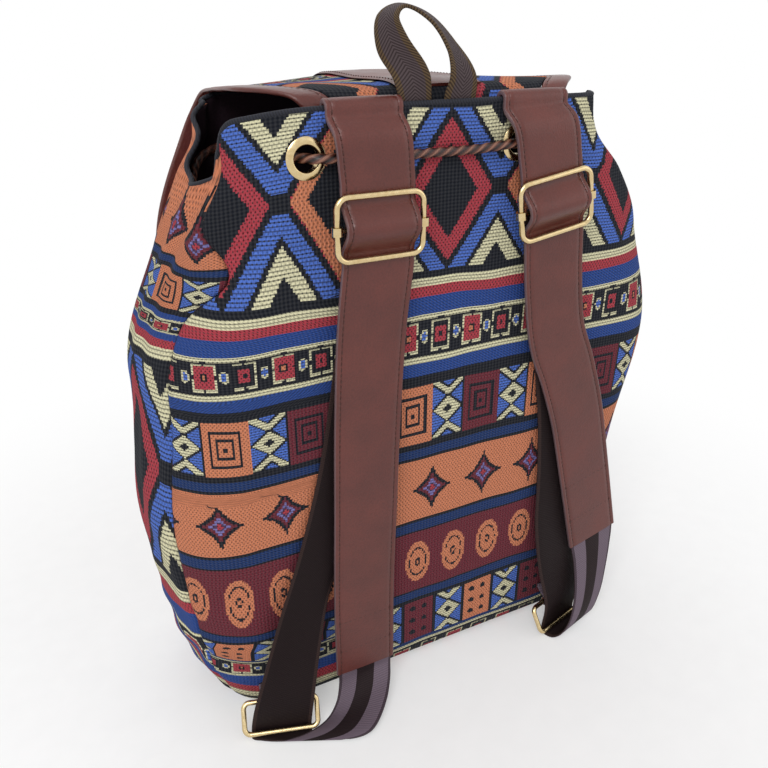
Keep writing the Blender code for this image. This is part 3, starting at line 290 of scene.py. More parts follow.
def fold_share(point):
    """How much a point belongs to the big soft pleat at the left corner of the neck."""
    rise = min(1.0, max(0.0, (point.z - FOLD_START) / FOLD_GROWS_OVER))
    seam = wall_point("back", 0.0, point.z, 0.0)
    away = math.hypot(point.x - seam.x, point.y - seam.y) / FOLD_REACH
    return rise * rise * (3 - 2 * rise) * math.exp(-away ** 2)


def cloth_rim(panel, place):
    """The height of the sewn rim: the back's left corner rounds down to a left side that hangs lower."""
    front = abs(place - 0.5) * 2 if panel == "front" else max(0.0, place * 2 - 1)
    low_front = FRONT_RIM_DROP * front ** 2 if panel != "back" else 0.0
    fall = 0.0
    if panel == "back":
        fall = LEFT_RIM_SAG * CORNER_SAG_SHARE * max(0.0, 1 - place / CORNER_SAG_REACH) ** 2
    if panel == "left":
        sunk = CORNER_SAG_SHARE + (1 - CORNER_SAG_SHARE) * min(1.0, place / CORNER_SAG_REACH)
        fall = LEFT_RIM_SAG * sunk * (1 - min(1.0, max(0.0, (place - 0.12) / 0.6))) ** 0.7
    return rim_height(panel, place) - low_front - fall


# Which height of the pattern, in millimetres, lies at each height of the bag: first on the left side, then
# on the back left of the strap, whose cloth is slack. The third table is how far it is slack across.
SIDE_THREADS = (
    (0.0, 450.0), (80.0, 400.0), (257.0, 290.0), (267.0, 280.0), (279.0, 235.0), (306.7, 175.0),
    (323.5, 147.5), (345.0, 134.0), (386.0, 127.0),
)
LEFT_THREADS = (
    (0.0, -44.0), (8.0, -36.0), (38.0, -6.0), (50.0, 18.0), (70.0, 62.0), (100.0, 89.0), (159.5, 148.0),
    (208.5, 203.0), (250.7, 253.0), (280.0, 287.0), (308.0, 310.0), (340.0, 337.0), (386.0, 383.0),
)
SLACK_BY_HEIGHT = (
    (0.0, 14.0), (60.0, 14.0), (66.0, 16.7), (115.0, 16.7), (122.0, 17.5), (172.0, 17.5), (180.0, -18.4),
    (228.0, -18.4), (240.0, 11.0), (266.0, 11.0), (284.0, 0.0),
)
STRAP_COVERS = -0.055
RIGHT_THREADS_TOP = 497.0
SIDE_THREADS_START = 8.0


def thread_place(panel, place, height):
    """Where a wall point lies on the flat cloth, in millimetres across and up the weave."""
    flat, corner, _, _, side, lean = section(height)
    level = height / MM
    if panel in ("back", "front"):
        across = -1 if place < 0.5 else 1
        turn = min(1.0, max(0.0, (abs(place - 0.5) - 1 / 6) * 3)) * CORNER_SWEEP
        x = across * (min(abs(place - 0.5) * 6, 1.0) * flat + corner * turn) + lean
        if panel == "back" and x < STRAP_COVERS:
            return x / MM - smooth_value(SLACK_BY_HEIGHT, level), smooth_value(LEFT_THREADS, level)
        return x / MM, level
    swing = (place - 0.5) * 2 * (math.pi / 2 - CORNER_SWEEP)
    if panel == "left":
        return side * swing / MM + SIDE_THREADS_START, smooth_value(SIDE_THREADS, level)
    return side * swing / MM + SIDE_THREADS_START, RIGHT_THREADS_TOP - level


def new_piece(name, vertices, faces, looks, threads=None, sharp=None):
    """A smooth mesh object. Its threads are each point's place on the flat cloth, in one flat list."""
    mesh = bpy.data.meshes.new(name)
    mesh.from_pydata(vertices, [], faces)
    if threads is not None:
        mesh.attributes.new("threads", "FLOAT_VECTOR", "POINT").data.foreach_set("vector", threads)
    mesh.shade_smooth()
    if sharp:
        mesh.set_sharp_from_angle(angle=math.radians(sharp))
    for look in looks:
        mesh.materials.append(look)
    made = bpy.data.objects.new(name, mesh)
    bpy.context.scene.collection.objects.link(made)
    return made


def ring_faces(rings, count, closed=False):
    """The faces between rings of points. Closed joins the last ring to the first, or else ends are capped."""
    faces = []
    for ring in range(rings if closed else rings - 1):
        here, there = ring * count, (ring + 1) % rings * count
        for p in range(count):
            q = (p + 1) % count
            faces.append((here + p, here + q, there + q, there + p))
    if not closed:
        faces.append(tuple(reversed(range(count))))
        faces.append(tuple(range((rings - 1) * count, rings * count)))
    return faces


def surface_mesh(name, points, threads, materials, flip=False, holes=()):
    """A grid of points as a mesh that knows its flat cloth, without the faces in holes given as (x, z, radius)."""
    rows, columns = len(points), len(points[0])
    faces = []
    for r in range(rows - 1):
        for c in range(columns - 1):
            a = r * columns + c
            middle = (points[r][c] + points[r][c + 1] + points[r + 1][c + 1] + points[r + 1][c]) / 4
            if any(math.hypot(middle.x - x, middle.z - z) < radius for x, z, radius in holes):
                continue
            face = (a, a + 1, a + columns + 1, a + columns)
            faces.append(tuple(reversed(face)) if flip else face)
    vertices = [tuple(p) for row in points for p in row]
    return new_piece(name, vertices, faces, materials, [v for row in threads for t in row for v in (*t, 0.0)])


def thicken(piece, thickness):
    """Gives a sheet its thickness inwards as plain mesh, with its second material inside."""
    solid = piece.modifiers.new("thickness", "SOLIDIFY")
    solid.thickness = thickness
    solid.offset = -1.0
    solid.material_offset = 1
    return settle(piece)


def settle(piece):
    """Replaces a piece's modifiers, or a curve, by the plain mesh that they give."""
    graph = bpy.context.evaluated_depsgraph_get()
    mesh = bpy.data.meshes.new_from_object(piece.evaluated_get(graph), preserve_all_data_layers=True, depsgraph=graph)
    name = piece.name
    bpy.data.objects.remove(piece)
    mesh.name = name + "_mesh"
    made = bpy.data.objects.new(name, mesh)
    bpy.context.scene.collection.objects.link(made)
    return made


# Jacquard canvas: a dense cotton weave whose bands of geometric figures are floats of coloured yarn, so
# pale areas are ribbed, warm areas are dotted by the black binding yarn and blue bands are slanted twill.
THREAD_COLOURS = {
    "black": "#12151E",
    "cream": "#DCD7B2",
    "sky": "#4E70C6",
    "royal": "#274890",
    "navy": "#1A3568",
    "red": "#A43843",
    "orange": "#C97C5A",
    "maroon": "#6A2632",
    "purple": "#4A3050",
    "lilac": "#7A74AE",
}
THREAD_NAMES = list(THREAD_COLOURS)
REPEAT_HEIGHT = 415.0
REPEAT_START = 5.0
MIRROR_HEIGHT = 337.0
STEP_ACROSS = 1.25
STEP_UP = 1.05
STRIPES = (
    (0.0, "black"), (15.5, "cream"), (18.0, "navy"), (21.0, "black"), (58.0, "navy"), (65.5, "black"),
    (67.0, "maroon"), (114.0, "black"), (115.5, "navy"), (123.6, "black"), (125.0, "orange"),
    (170.0, "black"), (172.0, "navy"), (178.5, "black"), (228.0, "royal"), (238.0, "cream"),
    (241.5, "black"), (264.0, "cream"), (267.0, "royal"), (277.0, "red"), (284.0, "cream"), (288.5, "black"),
)
# Each figure: middle height, half height, step, centre, half reach, slope, rule, fold across and up, rings.
# The rings start at a distance in millimetres from the figure's middle, and None leaves what lies below.
DIAMOND_SLOPE = 1.407
FIGURES = [
    (337.0, 43.5, 65.1, 33.55, 33.0, DIAMOND_SLOPE, "difference", (0, 0), (
        (-60.0, "black"), (-20.6, "red"), (-7.2, "black"), (-1.0, "sky"), (13.5, "black"), (18.0, "cream"),
        (31.0, "black"))),
    (337.0, 43.5, 130.2, -64.1, 32.5, DIAMOND_SLOPE, "sum", (0, 0), (
        (0.0, None), (24.6, "orange"), (38.0, None))),
    (337.0, 5.0, 65.1, 33.55, 5.5, 0.0, "sum", (0, 0), ((0.0, "black"), (9.0, None))),
]
for middle in (254.0, 5.0):
    FIGURES += [
        (middle, 11.0, 43.4, 19.8, 7.6, 1.43, "largest", (0, 0), (
            (0.0, "orange"), (1.6, "black"), (3.0, "red"), (7.9, "cream"), (9.4, None))),
        (middle, 11.0, 43.4, -1.9, 7.6, 1.43, "largest", (0, 0), (
            (0.0, "black"), (1.4, "red"), (4.6, "black"), (7.9, "cream"), (9.4, None))),
        (middle, 11.0, 21.7, -1.9, 7.6, 1.43, "difference", (0, 0), (
            (-14.0, "black"), (-7.6, None), (7.6, "black"))),
        (middle, 5.0, 21.7, 8.95, 4.0, 1.7, "round", (0, 0), (
            (0.0, "sky"), (2.6, "cream"), (4.2, None))),
    ]
for centre, yarn in ((-18.9, "orange"), (29.9, "maroon")):
    FIGURES.append((203.0, 20.0, 97.6, centre, 13.6, 1.46, "largest", (0, 0), (
        (0.0, "black"), (1.7, yarn), (5.2, "black"), (7.2, yarn), (11.0, "black"), (13.0, yarn), (19.4, "black"))))
for middle, centre, half in ((203.0, 5.5, 19.0), (39.0, 12.2, 17.0)):
    FIGURES += [
        (middle, half, 48.8, centre, 10.6, 0.85, "difference", (0, 0), (
            (-20.0, "sky"), (7.0, "black"), (8.6, "cream"), (13.2, "black"), (15.0, "sky"), (24.0, None))),
        (middle, 10.5, 48.8, centre, 10.6, 0.85, "sum", (0, 0), (
            (0.0, "black"), (3.0, "cream"), (8.2, "black"), (9.8, None))),
    ]
FIGURES += [
    (147.5, 19.5, 39.06, -4.3, 17.0, 1.12, "star", (0, 0), (
        (0.0, "red"), (3.4, "purple"), (5.4, "lilac"), (8.6, "maroon"), (13.4, "black"), (18.6, None))),
    (90.5, 17.5, 27.9, 14.2, 10.5, 1.78, "round", (0, 0), (
        (0.0, "orange"), (1.8, "black"), (3.6, "orange"), (10.4, "black"), (11.8, "orange"), (16.4, None))),
]
for centre, yarn in ((36.6, "orange"), (-12.2, "maroon")):
    FIGURES.append((39.0, 17.5, 97.6, centre, 11.6, 1.5, "largest", (0, 0), ((0.0, yarn), (17.2, "black"))))
    for fold_up in (0.0, 10.5):
        FIGURES.append((39.0, 17.5, 97.6, centre, 11.0, 1.0, "round", (4.6, fold_up), ((0.0, "black"), (2.2, None))))


def thread_value(name):
    """The grey that stands for a yarn between the figures and the palette, and whether it covers."""
    if name is None:
        return (0.0, 0.0, 0.0, 0.0)
    grey = (THREAD_NAMES.index(name) + 0.5) / len(THREAD_NAMES)
    return (grey, grey, grey, 1.0)


canvas, tree, shader = new_material("jacquard cotton canvas", 0.86)
MATH = "ShaderNodeMath"
places = add_node(tree, "ShaderNodeAttribute", attribute_name="threads")["Vector"]
across, up, _ = add_node(tree, "ShaderNodeSeparateXYZ", {0: places})
wander = add_node(tree, "ShaderNodeTexNoise", {"Vector": places, "Scale": 0.02, "Detail": 1.0})[0]
drift = add_node(tree, MATH, {0: wander, 1: 5.0, 2: -2.5}, operation="MULTIPLY_ADD")[0]
up_drift = add_node(tree, MATH, {0: up, 1: drift}, operation="ADD")[0]
step_across = add_node(tree, MATH, {0: across, 1: STEP_ACROSS}, operation="SNAP")[0]
step_up = add_node(tree, MATH, {0: up_drift, 1: STEP_UP}, operation="SNAP")[0]
repeat = add_node(tree, MATH, {0: step_up, 1: REPEAT_START + REPEAT_HEIGHT, 2: REPEAT_START}, operation="WRAP")[0]
above = add_node(tree, MATH, {0: repeat, 1: MIRROR_HEIGHT}, operation="SUBTRACT")[0]
folded = add_node(tree, MATH, {0: above}, operation="ABSOLUTE")[0]
level = add_node(tree, MATH, {0: MIRROR_HEIGHT, 1: folded}, operation="SUBTRACT")[0]
share = add_node(tree, MATH, {0: level, 1: MIRROR_HEIGHT}, operation="DIVIDE")[0]
stripe_stops = [(height / MIRROR_HEIGHT, thread_value(name)) for height, name in STRIPES]
yarn = add_node(tree, "ShaderNodeValToRGB", {0: share}, stripe_stops)["Color"]
for middle, half, step, centre, reach, slope, rule, folds, rings in FIGURES:
    shifted = add_node(tree, MATH, {0: step_across, 1: centre}, operation="SUBTRACT")[0]
    local = add_node(tree, MATH, {0: shifted, 1: step / 2, 2: -step / 2}, operation="WRAP")[0]
    beside = add_node(tree, MATH, {0: local}, operation="ABSOLUTE")[0]
    height = add_node(tree, MATH, {0: level, 1: middle}, operation="SUBTRACT")[0]
    off = add_node(tree, MATH, {0: height}, operation="ABSOLUTE")[0]
    in_height = add_node(tree, MATH, {0: off, 1: half}, operation="LESS_THAN")[0]
    in_reach = add_node(tree, MATH, {0: beside, 1: reach}, operation="LESS_THAN")[0]
    inside = add_node(tree, MATH, {0: in_height, 1: in_reach}, operation="MULTIPLY")[0]
    if folds[0]:
        nearer = add_node(tree, MATH, {0: beside, 1: folds[0]}, operation="SUBTRACT")[0]
        beside = add_node(tree, MATH, {0: nearer}, operation="ABSOLUTE")[0]
        lower = add_node(tree, MATH, {0: off, 1: folds[1]}, operation="SUBTRACT")[0]
        off = add_node(tree, MATH, {0: lower}, operation="ABSOLUTE")[0]
    sloped = add_node(tree, MATH, {0: beside, 1: slope}, operation="MULTIPLY")[0]
    if rule == "difference":
        distance = add_node(tree, MATH, {0: off, 1: sloped}, operation="SUBTRACT")[0]
    elif rule == "largest":
        distance = add_node(tree, MATH, {0: off, 1: sloped}, operation="MAXIMUM")[0]
    elif rule == "sum":
        distance = add_node(tree, MATH, {0: off, 1: sloped}, operation="ADD")[0]
    else:
        power = 2.0 if rule == "round" else 0.64
        raised = add_node(tree, MATH, {0: off, 1: power}, operation="POWER")[0]
        raised_across = add_node(tree, MATH, {0: sloped, 1: power}, operation="POWER")[0]
        total = add_node(tree, MATH, {0: raised, 1: raised_across}, operation="ADD")[0]
        distance = add_node(tree, MATH, {0: total, 1: 1 / power}, operation="POWER")[0]
    low, high = rings[0][0], rings[-1][0] + 12.0
    span = {0: distance, 1: low, 2: high, 3: 0.0, 4: 1.0}
    place = add_node(tree, "ShaderNodeMapRange", span)[0]
    ring_stops = [((start - low) / (high - low), thread_value(name)) for start, name in rings]
    figure = add_node(tree, "ShaderNodeValToRGB", {0: place}, ring_stops)
    cover = add_node(tree, MATH, {0: figure["Alpha"], 1: inside}, operation="MULTIPLY")[0]
    mix = add_node(tree, "ShaderNodeMix", {0: cover, 6: yarn, 7: figure["Color"]}, data_type="RGBA")
    yarn = mix[2]
palette = [(k / len(THREAD_NAMES), linear(THREAD_COLOURS[name])) for k, name in enumerate(THREAD_NAMES)]
dye = add_node(tree, "ShaderNodeValToRGB", {0: yarn}, palette)["Color"]
# How much of each weave a yarn shows: ribs in red, binding dots in green, slanted twill in blue.
WEAVES = {
    "black": (0.0, 0.25, 0.0), "cream": (0.85, 0.4, 0.0), "sky": (0.9, 0.5, 0.0), "royal": (0.0, 0.1, 0.9),
    "navy": (0.0, 0.1, 0.9), "red": (0.0, 1.0, 0.0), "orange": (0.1, 0.75, 0.0), "maroon": (0.0, 0.6, 0.3),
    "purple": (0.2, 0.5, 0.0), "lilac": (0.7, 0.3, 0.0),
}
weave_stops = [(k / len(THREAD_NAMES), (*WEAVES[name], 1.0)) for k, name in enumerate(THREAD_NAMES)]
weave = add_node(tree, "ShaderNodeValToRGB", {0: yarn}, weave_stops)["Color"]
ribs_shown, dots_shown, twill_shown = add_node(tree, "ShaderNodeSeparateColor", {0: weave})
RIB_PITCH = 1.9
DOT_PITCH = 2.3
TWILL_PITCH = 1.7
DARKENINGS = (
    (ribs_shown, RIB_PITCH, 0.0, 1.0, 0.62, 0.72),
    (dots_shown, DOT_PITCH, 1.0, 0.75, 0.56, 0.85),
    (twill_shown, TWILL_PITCH, 0.7, 1.0, 0.55, 0.55),
)
shade = None
for shown, pitch, lean_across, lean_up, threshold, strength in DARKENINGS:
    along = add_node(tree, MATH, {0: across, 1: 2 * lean_across / pitch}, operation="MULTIPLY")[0]
    line = add_node(tree, MATH, {0: up_drift, 1: 2 * lean_up / pitch, 2: along}, operation="MULTIPLY_ADD")[0]
    wave = add_node(tree, MATH, {0: line, 1: 1.0}, operation="PINGPONG")[0]
    if shown is dots_shown:
        back_line = add_node(tree, MATH, {0: up_drift, 1: -2 * lean_up / pitch, 2: along}, operation="MULTIPLY_ADD")[0]
        back_wave = add_node(tree, MATH, {0: back_line, 1: 1.0}, operation="PINGPONG")[0]
        wave = add_node(tree, MATH, {0: wave, 1: back_wave}, operation="MINIMUM")[0]
    ramp = {0: wave, 1: threshold - 0.12, 2: threshold + 0.12, 3: 0.0, 4: strength}
    dip = add_node(tree, "ShaderNodeMapRange", ramp)[0]
    part = add_node(tree, MATH, {0: dip, 1: shown}, operation="MULTIPLY")[0]
    shade = part if shade is None else add_node(tree, MATH, {0: shade, 1: part}, operation="ADD")[0]
yarn_noise = add_node(tree, "ShaderNodeTexNoise", {"Vector": places, "Scale": 1.1, "Detail": 2.0})[0]
fibre = add_node(tree, "ShaderNodeMapRange", {0: yarn_noise, 1: 0.3, 2: 0.7, 3: 0.72, 4: 1.18})[0]
ground = linear("#101013")
bound = add_node(tree, "ShaderNodeMix", {0: shade, 6: dye, 7: ground}, data_type="RGBA")[2]
soft = add_node(tree, "ShaderNodeVectorMath", {0: bound, 3: fibre}, operation="SCALE")["Vector"]
rib_line = add_node(tree, MATH, {0: up_drift, 1: 0.95}, operation="PINGPONG")[0]
weft_line = add_node(tree, MATH, {0: across, 1: 1.15}, operation="PINGPONG")[0]
woven = add_node(tree, MATH, {0: rib_line, 1: weft_line}, operation="ADD")[0]
glint = add_node(tree, "ShaderNodeMapRange", {0: woven, 1: 0.5, 2: 1.7, 3: 0.0, 4: 0.022})[0]
lit = add_node(tree, "ShaderNodeVectorMath", {0: soft, 1: glint}, operation="ADD")["Vector"]
tree.links.new(lit, shader.inputs["Base Color"])
relief = add_node(tree, MATH, {0: yarn_noise, 1: 1.2, 2: woven}, operation="MULTIPLY_ADD")[0]
bump = add_node(tree, "ShaderNodeBump", {"Strength": 0.5, "Distance": 0.0005, "Height": relief})[0]
tree.links.new(bump, shader.inputs["Normal"])
shader.inputs["Specular IOR Level"].default_value = 0.15

# The back of the cloth and the lining: plain dark polyester, seen in shade inside the mouth.
lining_cloth, tree, shader = new_material("dark polyester lining", 0.8)
grain = add_node(tree, "ShaderNodeTexCoord")["Object"]
fine = add_node(tree, "ShaderNodeTexNoise", {"Vector": grain, "Scale": 900.0, "Detail": 2.0})[0]
tone = add_node(tree, "ShaderNodeMix", {0: fine, 6: linear("#181117"), 7: linear("#33202A")}, data_type="RGBA")[2]
tree.links.new(tone, shader.inputs["Base Color"])
shader.inputs["Specular IOR Level"].default_value = 0.2

SEAM_PLACE = {"back": 0.0011, "front": 0.0011, "left": 0.0018, "right": 0.0018}
PANEL_ROWS = 112
FOOT_ROWS = 12
FOOT_LINE = 0.039
FOOT_RISE = 0.038
FOOT_THREADS = -6.0
PANEL_COLUMNS = {"back": 108, "front": 72, "left": 40, "right": 40}
EYELET_DROP = 0.0225
EYELET_HEIGHT = BODY_HEIGHT - EYELET_DROP
EYELET_SPOTS = {"back": (-0.081, 0.045), "front": (-0.032, 0.032)}
EYELET_HOLE = 8.6 * MM
EYELET_MIDDLE = 4.6 * MM
FLAT_LOWER = BASE_THICKNESS + GAP
panels = {}
for panel, node in (
    ("back", "back_panel"), ("front", "front_panel"), ("left", "left_side_panel"), ("right", "right_side_panel"),
):
    columns = PANEL_COLUMNS[panel]
    trim = SEAM_PLACE[panel]
    points, threads = [], []
    for r in range(PANEL_ROWS + 2):
        point_row, thread_row = [], []
        for c in range(columns + 1):
            share = trim + (1 - 2 * trim) * c / columns
            turned_up = FOOT_LINE + FOOT_RISE * min(share, 0.5) * 2
            if r <= FOOT_ROWS:
                height = FLAT_LOWER + (turned_up - FLAT_LOWER) * r / FOOT_ROWS
            else:
                lift = (r - FOOT_ROWS - 1) / (PANEL_ROWS - FOOT_ROWS)
                height = turned_up + 0.1 * MM + (cloth_rim(panel, share) - turned_up - 0.1 * MM) * lift
            _, corner, _, _, side, _ = section(height)
            over = seam_shift(height) if panel in ("back", "left") else 0.0
            wrapped = over * 3 * corner * CORNER_SWEEP
            girth = side * 2 * (math.pi / 2 - CORNER_SWEEP)
            if panel == "left":
                run = share * (wrapped + girth) - wrapped
                on, place = ("left", run / girth) if run >= 0 else ("back", -run / (3 * corner * CORNER_SWEEP))
                from_seam = min(share, 1 - share) * (wrapped + girth)
                thread_across, thread_up = thread_place("left", max(0.0, run / girth), height)
                thread_across += min(0.0, run) / MM
                if r <= FOOT_ROWS:
                    thread_up = FOOT_THREADS - (turned_up - height) / MM
            else:
                on, place = panel, over + share * (1 - over)
                from_seam = min(share, 1 - share) * (0.30 if panel in ("back", "front") else girth)
                thread_across, thread_up = thread_place(panel, place, height)
            point = wall_point(on, place, height, -cloth_offset(panel, place, height, from_seam))
            fold = fold_share(point) if panel in ("back", "left") else 0.0
            point = point + FOLD_PUSH * fold
            thread_across += FOLD_PUSH.x * fold / MM if panel == "back" else 0.0
            for x in EYELET_SPOTS.get(panel, ()):
                away = Vector((point.x - x, 0.0, point.z - EYELET_HEIGHT))
                if EYELET_MIDDLE < away.length < EYELET_HOLE:
                    point = point - away + away.normalized() * EYELET_HOLE
            point_row.append(point)
            thread_row.append((thread_across, thread_up))
        points.append(point_row)
        threads.append(thread_row)
    holes = [(x, EYELET_HEIGHT, EYELET_HOLE - 0.6 * MM) for x in EYELET_SPOTS.get(panel, ())]
    flip = panel in ("left", "front")
    piece = surface_mesh(node + "_cloth", points, threads, (canvas, lining_cloth), flip, holes)
    piece = thicken(piece, CLOTH)
    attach(piece, "bag")
    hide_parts(node)
    panels[panel] = piece

# Rim binding
# The raw top edge of the cloth is turned and bound, so the rim is a soft dark roll right round the mouth.
HEM_RADIUS = 1.5 * MM
hem_points = []
for panel, place in round_the_bag(48):
    top = cloth_rim(panel, place)
    point = wall_point(panel, place, top, CLOTH / 2 - cloth_offset(panel, place, top, 0.02))
    hem_points.append(point + FOLD_PUSH * (fold_share(point) if panel in ("back", "left") else 0.0))


def round_wire(name, points, radius, look, closed=False, sides=4):
    """A smooth wire of one thickness along its points, as a plain mesh with closed ends."""
    curve = bpy.data.curves.new(name, "CURVE")
    curve.dimensions = "3D"
    curve.bevel_depth = radius
    curve.bevel_resolution = sides
    curve.use_fill_caps = True
    curve.materials.append(look)
    spline = curve.splines.new("POLY")
    spline.points.add(len(points) - 1)
    for spot, point in zip(spline.points, points):
        spot.co = (*point, 1.0)
    spline.use_cyclic_u = closed
    made = bpy.data.objects.new(name, curve)
    bpy.context.scene.collection.objects.link(made)
    made = settle(made)
    made.data.shade_smooth()
    return made


# Cotton tape, folded over the cut edge: a close slanted twill with a dull face.
tape, tree, shader = new_material("navy black cotton tape", 0.85)
spots = add_node(tree, "ShaderNodeTexCoord")["Object"]
slant = add_node(tree, "ShaderNodeMapping", {0: spots, 2: (0.0, 0.5, 0.6)})[0]
twill = add_node(tree, "ShaderNodeTexWave", {0: slant, "Scale": 260.0, "Distortion": 1.0}, wave_type="BANDS")[1]
tone = add_node(tree, "ShaderNodeMix", {0: twill, 6: linear("#0E0F16"), 7: linear("#20222E")}, data_type="RGBA")[2]
tree.links.new(tone, shader.inputs["Base Color"])
rough_face = add_node(tree, "ShaderNodeBump", {"Strength": 0.4, "Distance": 0.0003, "Height": twill})[0]
tree.links.new(rough_face, shader.inputs["Normal"])
rim_hem = round_wire("rim_hem", hem_points, HEM_RADIUS, tape, closed=True)
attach(rim_hem, "bag")

# Stiffened bottom
# The same canvas over a stiff board. Its edge curves up to the seam with the four panels.
BOARD_LEVELS = 8
OUTLINE_STEPS = 40


def outline(height, shrink=1.0):
    """Points right round the bag at one height, each with its place on the flat cloth."""
    made = []
    for panel, place in round_the_bag(OUTLINE_STEPS):
        point = wall_point(panel, place, height, 0.0)
        flat_place = thread_place("back" if panel == "front" else panel, place, height)
        if shrink < 1.0 or height == 0.0:
            point = Vector((point.x * shrink, point.y * shrink, height))
            flat_place = (point.x / MM, -(point.y + BACK_DEPTH) / MM)
        made.append((point, flat_place))
    return made


def closed_shell(name, loops, look):
    """A solid skinned over closed loops of points, with flat ends."""
    count = len(loops[0])
    vertices = [tuple(point) for loop in loops for point, _ in loop]
    threads = [v for loop in loops for _, t in loop for v in (*t, 0.0)]
    return new_piece(name, vertices, ring_faces(len(loops), count), [look], threads)


board_loops = [outline(0.0, share) for share in (0.02, 0.25, 0.5, 0.75, 0.9, 1.0)]
for level in range(1, BOARD_LEVELS + 1):
    board_loops.append(outline(BASE_THICKNESS * level / BOARD_LEVELS))
board_loops += [outline(BASE_THICKNESS, share) for share in (0.9, 0.5, 0.02)]
board = closed_shell("bottom_cloth", board_loops, canvas)
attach(board, "bag")
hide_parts("bottom_panel")

# Lining
# A thin loose bag of dark polyester, sewn in below the rim. It hangs in shallow upright folds.
LINING_CLOTH = 0.9 * MM
LINING_INSET = CLOTH + 2 * GAP
LINING_TOP = 0.9
LINING_FOLD = 1.6 * MM
LINING_LEVELS = 40
lining_outside, lining_inside = [], []
for level in range(LINING_LEVELS + 1):
    share = LINING_TOP * level / LINING_LEVELS
    outer_loop, inner_loop = [], []
    for panel, place in round_the_bag(OUTLINE_STEPS):
        height = FLAT_LOWER + share * (rim_height(panel, place) - FLAT_LOWER)
        edge = min(1.0, 12 * min(place, 1 - place))
        fold = edge * LINING_FOLD * (0.5 + 0.5 * math.sin(place * 34 + 9 * height)) * min(1.0, 4 * share)
        flat_place = (place * 100.0, height / MM)
        outer_loop.append((wall_point(panel, place, height, LINING_INSET + fold), flat_place))
        lower = max(height, FLAT_LOWER + LINING_CLOTH)
        inner_loop.append((wall_point(panel, place, lower, LINING_INSET + LINING_CLOTH + fold), flat_place))
    lining_outside.append(outer_loop)
    lining_inside.append(inner_loop)
lining_piece = closed_shell("lining_cloth", lining_outside + lining_inside[::-1], lining_cloth)
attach(lining_piece, "bag")
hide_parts("lining")

# Eyelets
# Pressed brass eyelets, set by machine through the canvas: a rolled flange outside and a washer inside.
EYELET_OUTER = 0.021
EYELET_BORE = 0.013
EYELET_WALL = 1.0 * MM
EYELET_FLANGE = 1.1 * MM


def wall_frame(panel, x, height):
    """Centre, outward normal and upward tangent of the flat of the back or front wall at x and height."""
    facing = -1 if panel == "back" else 1
    step = 2 * MM
    depths = []
    for z in (height - step, height, height + step):
        _, _, front, back, _, _ = section(z)
        depths.append(facing * (back if panel == "back" else front))
    up = Vector((0.0, depths[2] - depths[0], 2 * step)).normalized()
    across = Vector((-facing, 0.0, 0.0))
    return Vector((x, depths[1], height)), across.cross(up).normalized(), up


# Pale brass plating, tumbled bright: clear reflections with a faint haze and tiny handling marks.
brass, tree, shader = new_material("pale brass plate", 0.22, 1.0)
spots = add_node(tree, "ShaderNodeTexCoord")["Object"]
haze = add_node(tree, "ShaderNodeTexNoise", {"Vector": spots, "Scale": 420.0, "Detail": 3.0})[0]
tone = add_node(tree, "ShaderNodeMix", {0: haze, 6: linear("#C2A673"), 7: linear("#E6D3A8")}, data_type="RGBA")[2]
tree.links.new(tone, shader.inputs["Base Color"])
dullness = add_node(tree, "ShaderNodeMapRange", {0: haze, 1: 0.3, 2: 0.7, 3: 0.16, 4: 0.3})[0]
tree.links.new(dullness, shader.inputs["Roughness"])
marks = add_node(tree, "ShaderNodeBump", {"Strength": 0.08, "Distance": 0.0002, "Height": haze})[0]
tree.links.new(marks, shader.inputs["Normal"])
barrel = EYELET_BORE / 2 + EYELET_WALL
eyelet_back = -(CLOTH + GAP)
EYELET_PROFILE = [
    (EYELET_BORE / 2, eyelet_back - 0.6 * EYELET_FLANGE),
    (EYELET_BORE / 2, 0.35 * EYELET_FLANGE + GAP),
    (EYELET_BORE / 2 + 0.15 * EYELET_WALL, 0.72 * EYELET_FLANGE + GAP),
    (EYELET_BORE / 2 + 0.6 * EYELET_WALL, 0.96 * EYELET_FLANGE + GAP),
    (EYELET_BORE / 2 + 1.2 * EYELET_WALL, EYELET_FLANGE + GAP),
    (0.40 * EYELET_OUTER, 0.86 * EYELET_FLANGE + GAP),
    (0.46 * EYELET_OUTER, 0.55 * EYELET_FLANGE + GAP),
    (EYELET_OUTER / 2, GAP),
    (barrel, GAP),
    (barrel, eyelet_back),
    (0.46 * EYELET_OUTER, eyelet_back),
    (0.46 * EYELET_OUTER, eyelet_back - 0.6 * EYELET_FLANGE),
]
EYELET_SEGMENTS = 56
for node, panel, x in (
    ("eyelet_back_left", "back", EYELET_SPOTS["back"][0]), ("eyelet_back_right", "back", EYELET_SPOTS["back"][1]),
    ("eyelet_front_left", "front", EYELET_SPOTS["front"][0]),
    ("eyelet_front_right", "front", EYELET_SPOTS["front"][1]),
):
    centre, outward, upward = wall_frame(panel, x, EYELET_HEIGHT)
    sideways = upward.cross(outward)
    vertices, faces = [], []
    count = len(EYELET_PROFILE)
    for k in range(EYELET_SEGMENTS):
        angle = 2 * math.pi * k / EYELET_SEGMENTS
        spoke = upward * math.cos(angle) - sideways * math.sin(angle)
        vertices += [tuple(centre + spoke * radius + outward * out) for radius, out in EYELET_PROFILE]
        here, there = k * count, ((k + 1) % EYELET_SEGMENTS) * count
        for p in range(count):
            q = (p + 1) % count
            faces.append((here + q, there + q, there + p, here + p))
    eyelet = new_piece(node + "_plate", vertices, faces, [brass], sharp=50)
    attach(eyelet, "bag")
    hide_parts(node)

